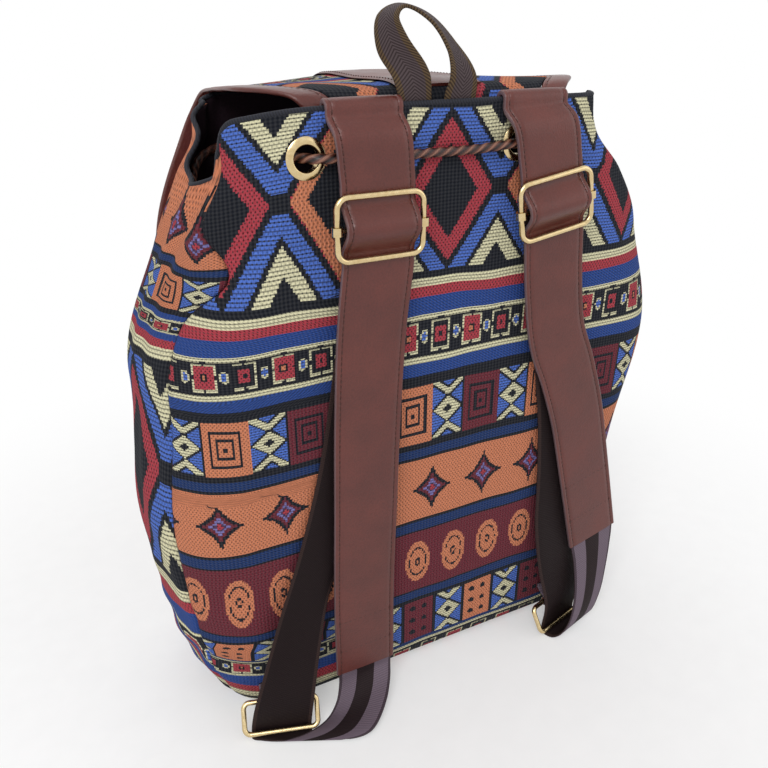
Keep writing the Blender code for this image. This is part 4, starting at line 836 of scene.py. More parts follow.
# Shoulder straps
# Two layers of brown imitation leather over a thin pad, stitched 3 mm from both edges. Each leaves the
# rim, climbs over its slider's bar and ends in webbing, which returns through the ring to that bar.
STRAP_WIDTH = 0.042
STRAP_THICKNESS = 3.0 * MM
STRAP_STANDOFF = 8.6 * MM
WEBBING_WIDTH = 0.039
WEBBING_THICKNESS = 1.2 * MM
SEAM_DEPTH = 0.011
SLIDER_HEIGHT_BELOW_RIM = 0.057
SLIDER_LENGTH = 0.036
SLIDER_WIRE = 3.3 * MM
SLIDER_CORNER = 6.0 * MM
SLIDER_SIDE_ROOM = 1.9 * MM
BAR_DIAMETER = 2.5 * MM
RING_WIRE = 3.4 * MM
RING_HEIGHT = 0.023
RING_CORNER = 4.0 * MM
RING_SIDE_ROOM = 2.5 * MM
RING_SLACK = 1.0 * MM
TAB_WIDTH = 0.022
TAB_RISE = 0.011
TAB_THICKNESS = 1.4 * MM
WIRE_RADIUS = SLIDER_WIRE / 2
BAR_RADIUS = BAR_DIAMETER / 2
STRAP_Y = -(BACK_DEPTH + STRAP_STANDOFF)
BEHIND_WIRE = WIRE_RADIUS + GAP + STRAP_THICKNESS / 2
OVER_BAR = BAR_RADIUS + GAP + WEBBING_THICKNESS + GAP + STRAP_THICKNESS / 2
HUMP_HALF_LENGTH = SLIDER_LENGTH / 2 - SLIDER_WIRE - 0.8 * MM
SLIDER_Z = BODY_HEIGHT - SLIDER_HEIGHT_BELOW_RIM
RIM_BEND = CLOTH / 2 + 2 * GAP + STRAP_THICKNESS / 2

STRAPS = {
    "left": {
        "top": -0.050,
        "slider": -0.046,
        "route": ((-0.050, 0.87), (-0.053, 0.68), (-0.055, 0.45), (-0.057, 0.21), (-0.057, 0.0)),
        "end": 0.026,
        "tilt": 0.0,
        "webbing": (
            ((-0.057, 8.0, 0.018), (1.0, 0.0, 0.10)),
            ((-0.061, 14.0, 0.009), (0.98, -0.12, 0.16)),
            ((-0.071, 24.0, 0.0035), (0.90, -0.36, 0.20)),
            ((-0.086, 33.0, 0.0028), (0.86, -0.50, 0.06)),
            ((-0.103, 31.0, 0.0018), (0.90, -0.43, 0.0)),
            ((-0.1175, 21.0, 0.0012), (0.94, -0.34, 0.0)),
        ),
        "ring": (-0.121, 16.5, 0.0),
        "ring_turn": -17.0,
        "ring_tilt": 35.0,
        "back_run": (
            ((-0.118, 15.5, 0.024), (0.96, -0.24, 0.08)),
            ((-0.110, 11.0, 0.050), (0.96, -0.06, 0.20)),
            ((-0.098, 6.4, 0.088), (0.95, 0.10, 0.28)),
            ((-0.081, 3.6, 0.130), (0.95, 0.02, 0.30)),
            ((-0.064, 2.6, 0.185), (0.97, 0.0, 0.22)),
            ((-0.053, 2.6, 0.240), (0.99, 0.0, 0.10)),
        ),
    },
    "right": {
        "top": 0.053,
        "slider": 0.066,
        "route": ((0.072, 0.90), (0.079, 0.74), (0.091, 0.62), (0.103, 0.48), (0.114, 0.31), (0.133, 0.0)),
        "end": 0.070,
        "tilt": 9.0,
        "webbing": (
            ((0.1345, 10.0, 0.055), (0.98, 0.12, 0.14)),
            ((0.1300, 17.0, 0.035), (0.95, 0.24, 0.18)),
            ((0.1220, 23.5, 0.018), (0.95, 0.28, 0.10)),
            ((0.1140, 25.0, 0.0060), (0.96, 0.27, 0.0)),
            ((0.1090, 21.5, 0.0014), (0.96, 0.26, 0.0)),
        ),
        "ring": (0.106, 16.0, 0.0),
        "ring_turn": 15.0,
        "ring_tilt": 30.0,
        "back_run": (
            ((0.1055, 14.0, 0.026), (0.96, 0.26, 0.0)),
            ((0.1015, 8.4, 0.055), (0.97, 0.20, -0.10)),
            ((0.0985, 4.6, 0.090), (0.97, 0.12, -0.16)),
            ((0.0975, 3.8, 0.130), (0.97, 0.05, -0.20)),
            ((0.0930, 3.6, 0.180), (0.98, 0.03, -0.22)),
            ((0.0840, 3.0, 0.235), (0.98, 0.0, -0.18)),
        ),
    },
}


def outside(point):
    """A point given as x, millimetres outside the back wall and z."""
    x, out, z = point
    return Vector((x, -(BACK_DEPTH + out * MM), z))


def hump(offset):
    """How far the strap rises out of its plane where it climbs over the slider's bar."""
    if abs(offset) >= HUMP_HALF_LENGTH:
        return 0.0
    return (BEHIND_WIRE + OVER_BAR) * (0.5 + 0.5 * math.cos(math.pi * offset / HUMP_HALF_LENGTH))


def strap_centres(spec):
    """The leather strap's centre line and side directions, from inside the rim to its lower end."""
    tilt = math.radians(spec["tilt"])
    down = Vector((math.sin(tilt), 0.0, -math.cos(tilt)))
    middle = Vector((spec["slider"], STRAP_Y, SLIDER_Z))
    reach = SLIDER_LENGTH / 2 + 4 * MM
    rim = Vector((spec["top"], CLOTH / 2 - BACK_DEPTH, BODY_HEIGHT))
    lead = [rim + Vector((0.0, RIM_BEND, -drop * SEAM_DEPTH)) for drop in (1.0, 0.5)]
    for step in range(9):
        angle = math.pi * step / 8
        lead.append(rim + Vector((0.0, math.cos(angle), math.sin(angle))) * RIM_BEND)
    outer = lead.pop()
    above = middle - down * reach
    below = middle + down * reach
    away = [
        outer,
        Vector((outer.x, outer.y - 0.5 * MM, outer.z + 0.12 * (above.z - outer.z))),
        Vector((outer.x + 0.35 * (above.x - outer.x), STRAP_Y, outer.z + 0.35 * (above.z - outer.z))),
        above,
    ]
    lead += smooth_curve(away, 4)
    crossing = []
    steps = 22
    for k in range(1, steps):
        offset = -reach + 2 * reach * k / steps
        crossing.append(middle + down * offset + Vector((0.0, -hump(offset), 0.0)))
    tail = [below]
    for x, share in spec["route"]:
        tail.append(Vector((x, STRAP_Y, spec["end"] + share * (below.z - spec["end"]))))
    tail = [point for index, point in enumerate(tail) if index == 0 or point.z < below.z - 8 * MM]
    run = smooth_curve(tail, 4)
    centres = lead + crossing + run
    across = Vector((-down.z, 0.0, down.x))
    sides = []
    for k in range(len(lead)):
        share = max(0.0, (k - 10) / (len(lead) - 10))
        sides.append(Vector((1.0, 0.0, 0.0)).lerp(across, share))
    for k in range(len(lead), len(centres)):
        ahead = centres[min(k + 1, len(centres) - 1)]
        behind = centres[max(k - 1, 0)]
        sides.append(Vector((behind.z - ahead.z, 0.0, ahead.x - behind.x)).normalized())
    return centres, sides, middle, down


def webbing_centres(spec, strap_end, strap_side, middle, down):
    """The webbing from the strap's end through the ring and up to the eye round the slider's bar."""
    turn = math.radians(spec["ring_turn"])
    ring_side = Vector((math.cos(turn), math.sin(turn), 0.0))
    ring_back = Vector((-math.sin(turn), math.cos(turn), 0.0))
    floor = RING_WIRE / 2 + RING_SLACK + GAP + WEBBING_THICKNESS
    wire = outside(spec["ring"]) + Vector((0.0, 0.0, floor + 0.2 * MM))
    wrap = RING_WIRE / 2 + RING_SLACK + WEBBING_THICKNESS / 2
    rows = [(strap_end, strap_side)]
    rows += [(outside(point), Vector(side)) for point, side in spec["webbing"]]
    for degrees in (-90, -35, 0):
        angle = math.radians(degrees)
        spoke = ring_back * math.cos(angle) + Vector((0.0, 0.0, math.sin(angle)))
        rows.append((wire + spoke * wrap, ring_side))
    rows += [(outside(point), Vector(side)) for point, side in spec["back_run"]]
    bar = middle + Vector((0.0, -BEHIND_WIRE, 0.0))
    side = Vector((-down.z, 0.0, down.x))
    behind = BEHIND_WIRE + STRAP_THICKNESS / 2 + GAP + WEBBING_THICKNESS / 2
    eye = BAR_RADIUS + GAP + WEBBING_THICKNESS / 2
    for along, out in ((-30.0, behind), (-HUMP_HALF_LENGTH / MM - 1.5, behind)):
        rows.append((bar - down * (along * MM) + Vector((0.0, out, 0.0)), side))
    rows.append((bar + down * (0.64 * HUMP_HALF_LENGTH) + Vector((0.0, 0.84 * behind, 0.0)), side))
    rows.append((bar + down * (0.36 * HUMP_HALF_LENGTH) + Vector((0.0, 0.60 * behind, 0.0)), side))
    for degrees in (75, 35, -5, -45, -90, -130, -165):
        angle = math.radians(degrees)
        spoke = Vector((0.0, math.sin(angle), 0.0)) - down * math.cos(angle)
        rows.append((bar + spoke * eye, side))
    centres = smooth_curve([row[0] for row in rows], 3)
    sides = smooth_curve([row[1].normalized() for row in rows], 3)
    return centres, sides, wire, ring_side, bar, side


def strap_profile(width, thickness, crown=0.0, groove=0.0):
    """A strap's cross-section in millimetres: rounded edges and a crowned face with two stitched grooves."""
    half, thick = width / 2 / MM, thickness / 2 / MM
    edge = min(0.8, thick)
    lower = [(-half, -0.3 * thick), (-half + 0.25 * edge, -0.75 * thick), (-half + edge, -thick)]
    lower += [(-0.5 * half, -thick), (0.0, -thick)]
    lower += [(-across, out) for across, out in reversed(lower[:-1])]
    upper = [(half, 0.35 * thick), (half - 0.3 * edge, 0.8 * thick), (half - edge, thick)]
    if groove:
        upper += [(half - 2.3, thick), (half - 2.75, thick - 0.8 * groove), (half - 3.0, thick - groove)]
        upper += [(half - 3.25, thick - 0.8 * groove), (half - 3.7, thick), (half - 6.0, thick + 0.5 * crown)]
    upper += [(0.5 * half, thick + 0.85 * crown), (0.2 * half, thick + crown)]
    upper += [(-across, out) for across, out in reversed(upper)]
    return lower + upper


def flow_at(centres, k):
    """The step from the point before to the point after, which gives a line's direction there."""
    return centres[min(k + 1, len(centres) - 1)] - centres[max(k - 1, 0)]


def swept_strap(name, centres, sides, profile, look):
    """A closed strap swept along its centre points, which knows its places across, along and out."""
    vertices, places = [], []
    run = 0.0
    for k, centre in enumerate(centres):
        flow = flow_at(centres, k).normalized()
        side = sides[k].normalized()
        normal = flow.cross(side).normalized()
        run += (centre - centres[k - 1]).length / MM if k else 0.0
        for across, out in profile:
            vertices.append(tuple(centre + side * (across * MM) + normal * (out * MM)))
            places += [across, run, out]
    return new_piece(name, vertices, ring_faces(len(centres), len(profile)), [look], places, sharp=60)


# Imitation leather: polyurethane pressed with a fine pebble grain, a soft satin face and darker rubbed
# edges. The grain is about 0.9 mm, a little coarser than real so that it shows.
leather, tree, shader = new_material("brown imitation leather", 0.4)
places = add_node(tree, "ShaderNodeAttribute", attribute_name="threads")["Vector"]
spots = add_node(tree, "ShaderNodeTexCoord")["Object"]
pebbles = add_node(tree, "ShaderNodeTexVoronoi", {0: spots, "Scale": 1100.0}, feature="SMOOTH_F1")[0]
clouds = add_node(tree, "ShaderNodeTexNoise", {"Vector": spots, "Scale": 38.0, "Detail": 3.0})[0]
tone = add_node(tree, "ShaderNodeMix", {0: clouds, 6: linear("#471A14"), 7: linear("#6A322A")}, data_type="RGBA")[2]
pores = add_node(tree, "ShaderNodeMapRange", {0: pebbles, 1: 0.2, 2: 0.9, 3: 1.06, 4: 0.80})[0]
grained = add_node(tree, "ShaderNodeVectorMath", {0: tone, 3: pores}, operation="SCALE")["Vector"]
across, along, out = add_node(tree, "ShaderNodeSeparateXYZ", {0: places})
beside = add_node(tree, MATH, {0: across}, operation="ABSOLUTE")[0]
CUT_EDGE = 20.5
cut_edge = add_node(tree, "ShaderNodeMapRange", {0: beside, 1: CUT_EDGE, 2: CUT_EDGE + 0.4, 3: 0.0, 4: 0.8})[0]
edged = add_node(tree, "ShaderNodeMix", {0: cut_edge, 6: grained, 7: linear("#6E5C60")}, data_type="RGBA")[2]
tree.links.new(edged, shader.inputs["Base Color"])
dullness = add_node(tree, "ShaderNodeMapRange", {0: clouds, 1: 0.3, 2: 0.7, 3: 0.30, 4: 0.46})[0]
tree.links.new(dullness, shader.inputs["Roughness"])
creases = add_node(tree, "ShaderNodeTexNoise", {"Vector": spots, "Scale": 120.0, "Detail": 4.0})[0]
relief = add_node(tree, MATH, {0: creases, 1: 1.5, 2: pebbles}, operation="MULTIPLY_ADD")[0]
bump = add_node(tree, "ShaderNodeBump", {"Strength": 0.28, "Distance": 0.0004, "Height": relief})[0]
tree.links.new(bump, shader.inputs["Normal"])

# Stitching thread: waxed brown polyester, a little darker than the leather, with a slight shine.
thread, tree, shader = new_material("dark brown sewing thread", 0.5)
spots = add_node(tree, "ShaderNodeTexCoord")["Object"]
ply = add_node(tree, "ShaderNodeTexNoise", {"Vector": spots, "Scale": 1500.0, "Detail": 1.0})[0]
tone = add_node(tree, "ShaderNodeMix", {0: ply, 6: linear("#2A1512"), 7: linear("#5A3028")}, data_type="RGBA")[2]
tree.links.new(tone, shader.inputs["Base Color"])

# Webbing: flat-woven polypropylene in fine crosswise ribs. One face is mauve grey with a dark stripe.
webbing, tree, shader = new_material("mauve grey woven webbing", 0.62)
places = add_node(tree, "ShaderNodeAttribute", attribute_name="threads")["Vector"]
across, along, out = add_node(tree, "ShaderNodeSeparateXYZ", {0: places})
beside = add_node(tree, MATH, {0: across}, operation="ABSOLUTE")[0]
FACE_STOPS = [(0.0, linear("#2A2022")), (6.5 / 20, linear("#726470")), (17.5 / 20, linear("#4A3E46"))]
share = add_node(tree, MATH, {0: beside, 1: 20.0}, operation="DIVIDE")[0]
face = add_node(tree, "ShaderNodeValToRGB", {0: share}, FACE_STOPS)["Color"]
UNDER_STOPS = [(0.0, linear("#1E1415")), (17.0 / 20, linear("#332523"))]
under = add_node(tree, "ShaderNodeValToRGB", {0: share}, UNDER_STOPS)["Color"]
faced = add_node(tree, MATH, {0: out, 1: 0.1}, operation="GREATER_THAN")[0]
base = add_node(tree, "ShaderNodeMix", {0: faced, 6: under, 7: face}, data_type="RGBA")[2]
rib = add_node(tree, MATH, {0: along, 1: 0.75}, operation="PINGPONG")[0]
warp = add_node(tree, MATH, {0: across, 1: 0.55}, operation="PINGPONG")[0]
weft = add_node(tree, MATH, {0: warp, 1: 0.6, 2: rib}, operation="MULTIPLY_ADD")[0]
lift = add_node(tree, "ShaderNodeMapRange", {0: weft, 1: 0.1, 2: 0.9, 3: 0.62, 4: 1.12})[0]
ribbed = add_node(tree, "ShaderNodeVectorMath", {0: base, 3: lift}, operation="SCALE")["Vector"]
tree.links.new(ribbed, shader.inputs["Base Color"])
bump = add_node(tree, "ShaderNodeBump", {"Strength": 0.5, "Distance": 0.0004, "Height": weft})[0]
tree.links.new(bump, shader.inputs["Normal"])
shader.inputs["Specular IOR Level"].default_value = 0.12

# The stitch rows: one small padded stitch is repeated along a line on the leather.
STITCH_PITCH = 3.4 * MM
STITCH_LENGTH = 2.5 * MM
STITCH_THICKNESS = 0.62 * MM
stitcher = bpy.data.node_groups.new("stitches along a line", "GeometryNodeTree")
stitcher.interface.new_socket("Geometry", in_out="INPUT", socket_type="NodeSocketGeometry")
stitcher.interface.new_socket("Geometry", in_out="OUTPUT", socket_type="NodeSocketGeometry")
sockets = {}
for label, value in (("Pitch", STITCH_PITCH), ("Length", STITCH_LENGTH), ("Thickness", STITCH_THICKNESS)):
    socket = stitcher.interface.new_socket(label, in_out="INPUT", socket_type="NodeSocketFloat")
    socket.default_value = value
    sockets[label] = socket.identifier
given = add_node(stitcher, "NodeGroupInput")
line = add_node(stitcher, "GeometryNodeMeshToCurve", {0: given["Geometry"]})[0]
marks = add_node(stitcher, "GeometryNodeCurveToPoints", {"Curve": line, "Length": given["Pitch"]}, mode="LENGTH")
turn = add_node(stitcher, "FunctionNodeAlignRotationToVector", {"Vector": marks["Tangent"]}, axis="X")[0]
grain_shape = add_node(stitcher, "GeometryNodeMeshUVSphere", {"Segments": 6, "Rings": 4, "Radius": 0.5})["Mesh"]
size = add_node(stitcher, "ShaderNodeCombineXYZ", {0: given["Length"], 1: given["Thickness"], 2: given["Thickness"]})[0]
shaped = add_node(stitcher, "GeometryNodeTransform", {"Geometry": grain_shape, "Scale": size})[0]
on_points = {"Points": marks["Points"], "Instance": shaped, "Rotation": turn}
laid = add_node(stitcher, "GeometryNodeInstanceOnPoints", on_points)[0]
real = add_node(stitcher, "GeometryNodeRealizeInstances", {"Geometry": laid})[0]
smoothed = add_node(stitcher, "GeometryNodeSetShadeSmooth", {0: real})[0]
coloured = add_node(stitcher, "GeometryNodeSetMaterial", {"Geometry": smoothed, "Material": thread})[0]
add_node(stitcher, "NodeGroupOutput", {"Geometry": coloured})


def stitched(name, lines, body):
    """Rows of stitches along lines of points, as one plain mesh that rides on a body."""
    vertices, edges = [], []
    for line_points in lines:
        start = len(vertices)
        vertices += [tuple(p) for p in line_points]
        edges += [(start + k, start + k + 1) for k in range(len(line_points) - 1)]
    mesh = bpy.data.meshes.new(name)
    mesh.from_pydata(vertices, edges, [])
    made = bpy.data.objects.new(name, mesh)
    bpy.context.scene.collection.objects.link(made)
    rows_modifier = made.modifiers.new("stitches", "NODES")
    rows_modifier.node_group = stitcher
    rows_modifier[sockets["Pitch"]] = STITCH_PITCH
    rows_modifier[sockets["Length"]] = STITCH_LENGTH
    rows_modifier[sockets["Thickness"]] = STITCH_THICKNESS
    made = settle(made)
    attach(made, body)
    return made


def line_on(centres, sides, across, out, first=0, last=None):
    """A line on a strap's face, at a distance across it and out from its middle, in millimetres."""
    made = []
    for k in range(first, len(centres) if last is None else last):
        normal = flow_at(centres, k).cross(sides[k]).normalized()
        made.append(centres[k] + sides[k].normalized() * (across * MM) + normal * (out * MM))
    return made


def frame_points(corners, bend):
    """The centre line of a closed wire frame with rounded corners."""
    points = []
    count = len(corners)
    for k, corner in enumerate(corners):
        before = (corners[k - 1] - corner).normalized()
        after = (corners[(k + 1) % count] - corner).normalized()
        hub = corner + (before + after) * bend
        for step in range(10):
            angle = math.pi / 2 * step / 9
            points.append(hub - after * bend * math.cos(angle) - before * bend * math.sin(angle))
    return points


STRAP_PROFILE = strap_profile(STRAP_WIDTH, STRAP_THICKNESS, 0.12, 0.45)
WEBBING_PROFILE = strap_profile(WEBBING_WIDTH, WEBBING_THICKNESS)
TAB_PROFILE = strap_profile(TAB_WIDTH, TAB_THICKNESS)
STITCH_OUT = STRAP_THICKNESS / 2 / MM - 0.28
STITCH_IN = STRAP_WIDTH / 2 / MM - 3.0


def back_wall(x, height):
    """The point of the back wall's outer face at a given x and height."""
    low, high = 0.0, 1.0
    for _ in range(24):
        middle = (low + high) / 2
        if wall_point("back", middle, height, 0.0).x < x:
            low = middle
        else:
            high = middle
    return wall_point("back", (low + high) / 2, height, 0.0)


for hand, spec in STRAPS.items():
    centres, sides, middle, down = strap_centres(spec)
    end_flow = (centres[-1] - centres[-2]).normalized()
    web_start = centres[-1] + end_flow * GAP
    web_centres, web_sides, wire, ring_side, bar, bar_side = webbing_centres(
        spec, web_start, sides[-1], middle, down
    )
    fine_centres, fine_sides = smooth_curve(centres, 3), smooth_curve(sides, 3)
    strap = swept_strap(hand + "_strap_cover", fine_centres, fine_sides, STRAP_PROFILE, leather)
    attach(strap, "bag")
    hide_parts(hand + "_strap_leather")
    lines = [line_on(fine_centres, fine_sides, sign * STITCH_IN, STITCH_OUT, 34) for sign in (-1, 1)]
    foot = len(fine_centres) - 5
    for back in (0, 5):
        across_end = []
        for k in range(13):
            across = -STITCH_IN + 2 * STITCH_IN * k / 12
            across_end += line_on(fine_centres, fine_sides, across, STITCH_OUT + 0.28, foot - back, foot - back + 1)
        lines.append(across_end)
    stitched(hand + "_strap_stitches", lines, "bag")
    fine_web, fine_web_sides = smooth_curve(web_centres, 2), smooth_curve(web_sides, 2)
    web = swept_strap(hand + "_strap_webbing_weave", fine_web, fine_web_sides, WEBBING_PROFILE, webbing)
    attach(web, "bag")
    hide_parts(hand + "_strap_webbing")
    half_long = SLIDER_LENGTH / 2 - WIRE_RADIUS
    half_wide = STRAP_WIDTH / 2 + SLIDER_SIDE_ROOM + WIRE_RADIUS
    corners = []
    for across, along_slider in ((-1, -1), (1, -1), (1, 1), (-1, 1)):
        corners.append(bar + bar_side * (across * half_wide) + down * (along_slider * half_long))
    frame_wire = round_wire(
        hand + "_slider_wire", frame_points(corners, SLIDER_CORNER), WIRE_RADIUS, brass, closed=True, sides=6
    )
    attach(frame_wire, hand + "_slider")
    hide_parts(hand + "_slider_frame")
    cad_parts[hand + "_slider_bar"].material_slots[0].material = brass
    ring_wide = WEBBING_WIDTH / 2 + RING_SIDE_ROOM + RING_WIRE / 2
    ring_tall = RING_HEIGHT - RING_WIRE
    ring_tilt = math.radians(spec["ring_tilt"])
    ring_back = Vector((-ring_side.y, ring_side.x, 0.0))
    ring_up = Vector((0.0, 0.0, math.cos(ring_tilt))) + ring_back * math.sin(ring_tilt)
    corners = []
    for across, rise in ((-1, 0), (1, 0), (1, 1), (-1, 1)):
        corners.append(wire + ring_side * (across * ring_wide) + ring_up * (rise * ring_tall))
    hinge = wire + ring_up * ring_tall
    ring_wire = round_wire(
        hand + "_ring_wire", frame_points(corners, RING_CORNER), RING_WIRE / 2, brass, closed=True, sides=6
    )
    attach(ring_wire, hand + "_ring")
    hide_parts(hand + "_ring")
    wrap = RING_WIRE / 2 + GAP + TAB_THICKNESS / 2
    root_height = hinge.z + TAB_RISE
    chord = back_wall(hinge.x + TAB_WIDTH / 2, root_height) - back_wall(hinge.x - TAB_WIDTH / 2, root_height)
    wall_side = chord.normalized()
    wall_out = Vector((wall_side.y, -wall_side.x, 0.0))
    root = back_wall(hinge.x, root_height) + wall_out * (GAP + TAB_THICKNESS / 2)
    rows = [(root, wall_side), (root - Vector((0.0, 0.0, 0.25 * TAB_RISE)) + wall_out * 0.2 * MM, wall_side)]
    for degrees in (135, 165, 195, 225, 255, 285, 315):
        angle = math.radians(degrees)
        spoke = ring_back * math.cos(angle) + Vector((0.0, 0.0, math.sin(angle)))
        rows.append((hinge + spoke * wrap, ring_side))
    tab_centres, tab_sides = smooth_curve([r[0] for r in rows], 5), smooth_curve([r[1] for r in rows], 5)
    tab = swept_strap(hand + "_ring_tab_weave", tab_centres, tab_sides, TAB_PROFILE, webbing)
    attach(tab, "bag")
    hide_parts(hand + "_ring_tab")

# Handle
# A narrow webbing loop. Its two ends are sewn inside the back rim, side by side.
HANDLE_WIDTH = 0.019
HANDLE_THICKNESS = 1.8 * MM
HANDLE_RISE = 0.045
HANDLE_MIDDLE = -0.0055
HANDLE_SPREAD = 0.027
handle_y = CLOTH + GAP + HANDLE_THICKNESS / 2 - BACK_DEPTH
left_foot = HANDLE_MIDDLE - HANDLE_SPREAD / 2
right_foot = HANDLE_MIDDLE + HANDLE_SPREAD / 2
crown = BODY_HEIGHT + HANDLE_RISE
HANDLE_ROUTE = (
    ((left_foot, handle_y, BODY_HEIGHT - SEAM_DEPTH), (1.0, 0.0, 0.0)),
    ((left_foot, handle_y, BODY_HEIGHT + 2 * MM), (1.0, 0.0, 0.0)),
    ((left_foot - 3 * MM, handle_y - 1 * MM, BODY_HEIGHT + 0.30 * HANDLE_RISE), (0.92, -0.35, 0.12)),
    ((left_foot - 11 * MM, handle_y + 4 * MM, BODY_HEIGHT + 0.62 * HANDLE_RISE), (0.50, -0.80, 0.25)),
    ((left_foot - 10 * MM, handle_y + 11 * MM, crown - 5 * MM), (0.12, -0.98, 0.0)),
    ((left_foot, handle_y + 15 * MM, crown), (-0.20, -0.96, -0.05)),
    ((HANDLE_MIDDLE + 2 * MM, handle_y + 13 * MM, crown - 6 * MM), (-0.36, -0.88, -0.20)),
    ((right_foot - 2 * MM, handle_y + 7 * MM, BODY_HEIGHT + 0.58 * HANDLE_RISE), (-0.62, -0.74, -0.20)),
    ((right_foot + 1 * MM, handle_y - 0.5 * MM, BODY_HEIGHT + 0.28 * HANDLE_RISE), (-0.95, -0.28, -0.05)),
    ((right_foot, handle_y, BODY_HEIGHT + 2 * MM), (-1.0, 0.0, 0.0)),
    ((right_foot, handle_y, BODY_HEIGHT - SEAM_DEPTH), (-1.0, 0.0, 0.0)),
)
handle_centres = smooth_curve([Vector(point) for point, _ in HANDLE_ROUTE], 4)
handle_sides = smooth_curve([Vector(side).normalized() for _, side in HANDLE_ROUTE], 4)
# Handle webbing: the same yarn in brown grey, with a slanted twill along both edges.
handle_weave, tree, shader = new_material("brown grey twill webbing", 0.68)
places = add_node(tree, "ShaderNodeAttribute", attribute_name="threads")["Vector"]
across, along, out = add_node(tree, "ShaderNodeSeparateXYZ", {0: places})
beside = add_node(tree, MATH, {0: across}, operation="ABSOLUTE")[0]
slant = add_node(tree, MATH, {0: beside, 1: 0.8, 2: along}, operation="MULTIPLY_ADD")[0]
twill = add_node(tree, MATH, {0: slant, 1: 0.9}, operation="PINGPONG")[0]
at_edge = add_node(tree, MATH, {0: beside, 1: 6.2}, operation="GREATER_THAN")[0]
middle_yarns = {0: twill, 6: linear("#2C2324"), 7: linear("#5C5052")}
middle_tone = add_node(tree, "ShaderNodeMix", middle_yarns, data_type="RGBA")[2]
edge_yarns = {0: twill, 6: linear("#2A1F1C"), 7: linear("#6A573E")}
edge_tone = add_node(tree, "ShaderNodeMix", edge_yarns, data_type="RGBA")[2]
woven = add_node(tree, "ShaderNodeMix", {0: at_edge, 6: middle_tone, 7: edge_tone}, data_type="RGBA")[2]
tree.links.new(woven, shader.inputs["Base Color"])
bump = add_node(tree, "ShaderNodeBump", {"Strength": 0.5, "Distance": 0.0005, "Height": twill})[0]
tree.links.new(bump, shader.inputs["Normal"])
shader.inputs["Specular IOR Level"].default_value = 0.12
handle_centres, handle_sides = smooth_curve(handle_centres, 3), smooth_curve(handle_sides, 3)
handle_profile = strap_profile(HANDLE_WIDTH, HANDLE_THICKNESS)
handle = swept_strap("handle_weave", handle_centres, handle_sides, handle_profile, handle_weave)
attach(handle, "bag")
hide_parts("handle")

# Flap
# A canvas flap edged in a rolled strip of imitation leather, with a leather strap down its middle. It is
# sewn inside the back rim, lies over the mouth and hangs down the front to a magnetic snap.
FLAP_THICKNESS = 2.6 * MM
FLAP_SEAM_HALF_WIDTH = 0.079
FLAP_TOP_HALF_WIDTH = 0.106
FLAP_FRONT_HALF_WIDTH = 0.137
FLAP_RISE = 7.0 * MM
FLAP_STANDOFF = 4.0 * MM
FLAP_END_HEIGHT = 0.200
FLAP_CORNER_RADIUS = 0.050
BORDER_WIDTH = 0.018
CENTRE_STRAP_WIDTH = 0.052
CENTRE_STRAP_THICKNESS = 1.6 * MM
SNAP_HEIGHT = 0.228
SNAP_DIAMETER = 0.018
SNAP_THICKNESS = 2.4 * MM
LOCK_BELOW_EYELET = 0.020
LOCK_HEIGHT = 0.014
TAIL_LENGTH = 0.036
SNAP_STACK = 2 * SNAP_THICKNESS + 3 * GAP
flap_root_y = CLOTH / 2 - BACK_DEPTH + RIM_BEND + STRAP_THICKNESS / 2 + GAP + FLAP_THICKNESS / 2
flap_hang_y = FRONT_DEPTH + SNAP_STACK + FLAP_THICKNESS / 2
flap_top = BODY_HEIGHT + FLAP_RISE
lock_z = BODY_HEIGHT - EYELET_DROP - LOCK_BELOW_EYELET
FLAP_ROUTE = (
    (flap_root_y, BODY_HEIGHT - SEAM_DEPTH),
    (flap_root_y, BODY_HEIGHT - 0.2 * SEAM_DEPTH),
    (flap_root_y + 3 * MM, flap_top - 2.5 * MM),
    (flap_root_y + 11 * MM, flap_top),
    (0.0, flap_top),
    (FRONT_RIM_DEPTH - 12 * MM, flap_top),
    (FRONT_RIM_DEPTH + 7 * MM, flap_top - 4 * MM),
    (flap_hang_y + 0.6 * FLAP_STANDOFF, BODY_HEIGHT - 14 * MM),
    (flap_hang_y + FLAP_STANDOFF, lock_z),
    (flap_hang_y + FLAP_STANDOFF, lock_z - LOCK_HEIGHT / 2 - TAIL_LENGTH),
    (flap_hang_y, SNAP_HEIGHT + 1.3 * SNAP_DIAMETER),
    (flap_hang_y, SNAP_HEIGHT),
    (flap_hang_y, FLAP_END_HEIGHT),
)
flap_line = smooth_curve([Vector((0.0, y, z)) for y, z in FLAP_ROUTE], 10)
flap_reach = [0.0]
for before, after in zip(flap_line, flap_line[1:]):
    flap_reach.append(flap_reach[-1] + (after - before).length)


def flap_point(reach, x, off):
    """A point at a distance along the flap, across it and off its middle surface."""
    last = len(flap_line) - 2
    index = max(k for k in range(last + 1) if flap_reach[k] <= reach + 1e-9 or k == 0)
    start, end = flap_line[index], flap_line[index + 1]
    share = (reach - flap_reach[index]) / (flap_reach[index + 1] - flap_reach[index])
    ahead = flap_line[min(index + 2, last + 1)] - start
    behind = end - flap_line[max(index - 1, 0)]
    tangent = behind.normalized().lerp(ahead.normalized(), min(max(share, 0.0), 1.0)).normalized()
    normal = Vector((0.0, -tangent.z, tangent.y))
    return start.lerp(end, share) + Vector((x, 0.0, 0.0)) + normal * off


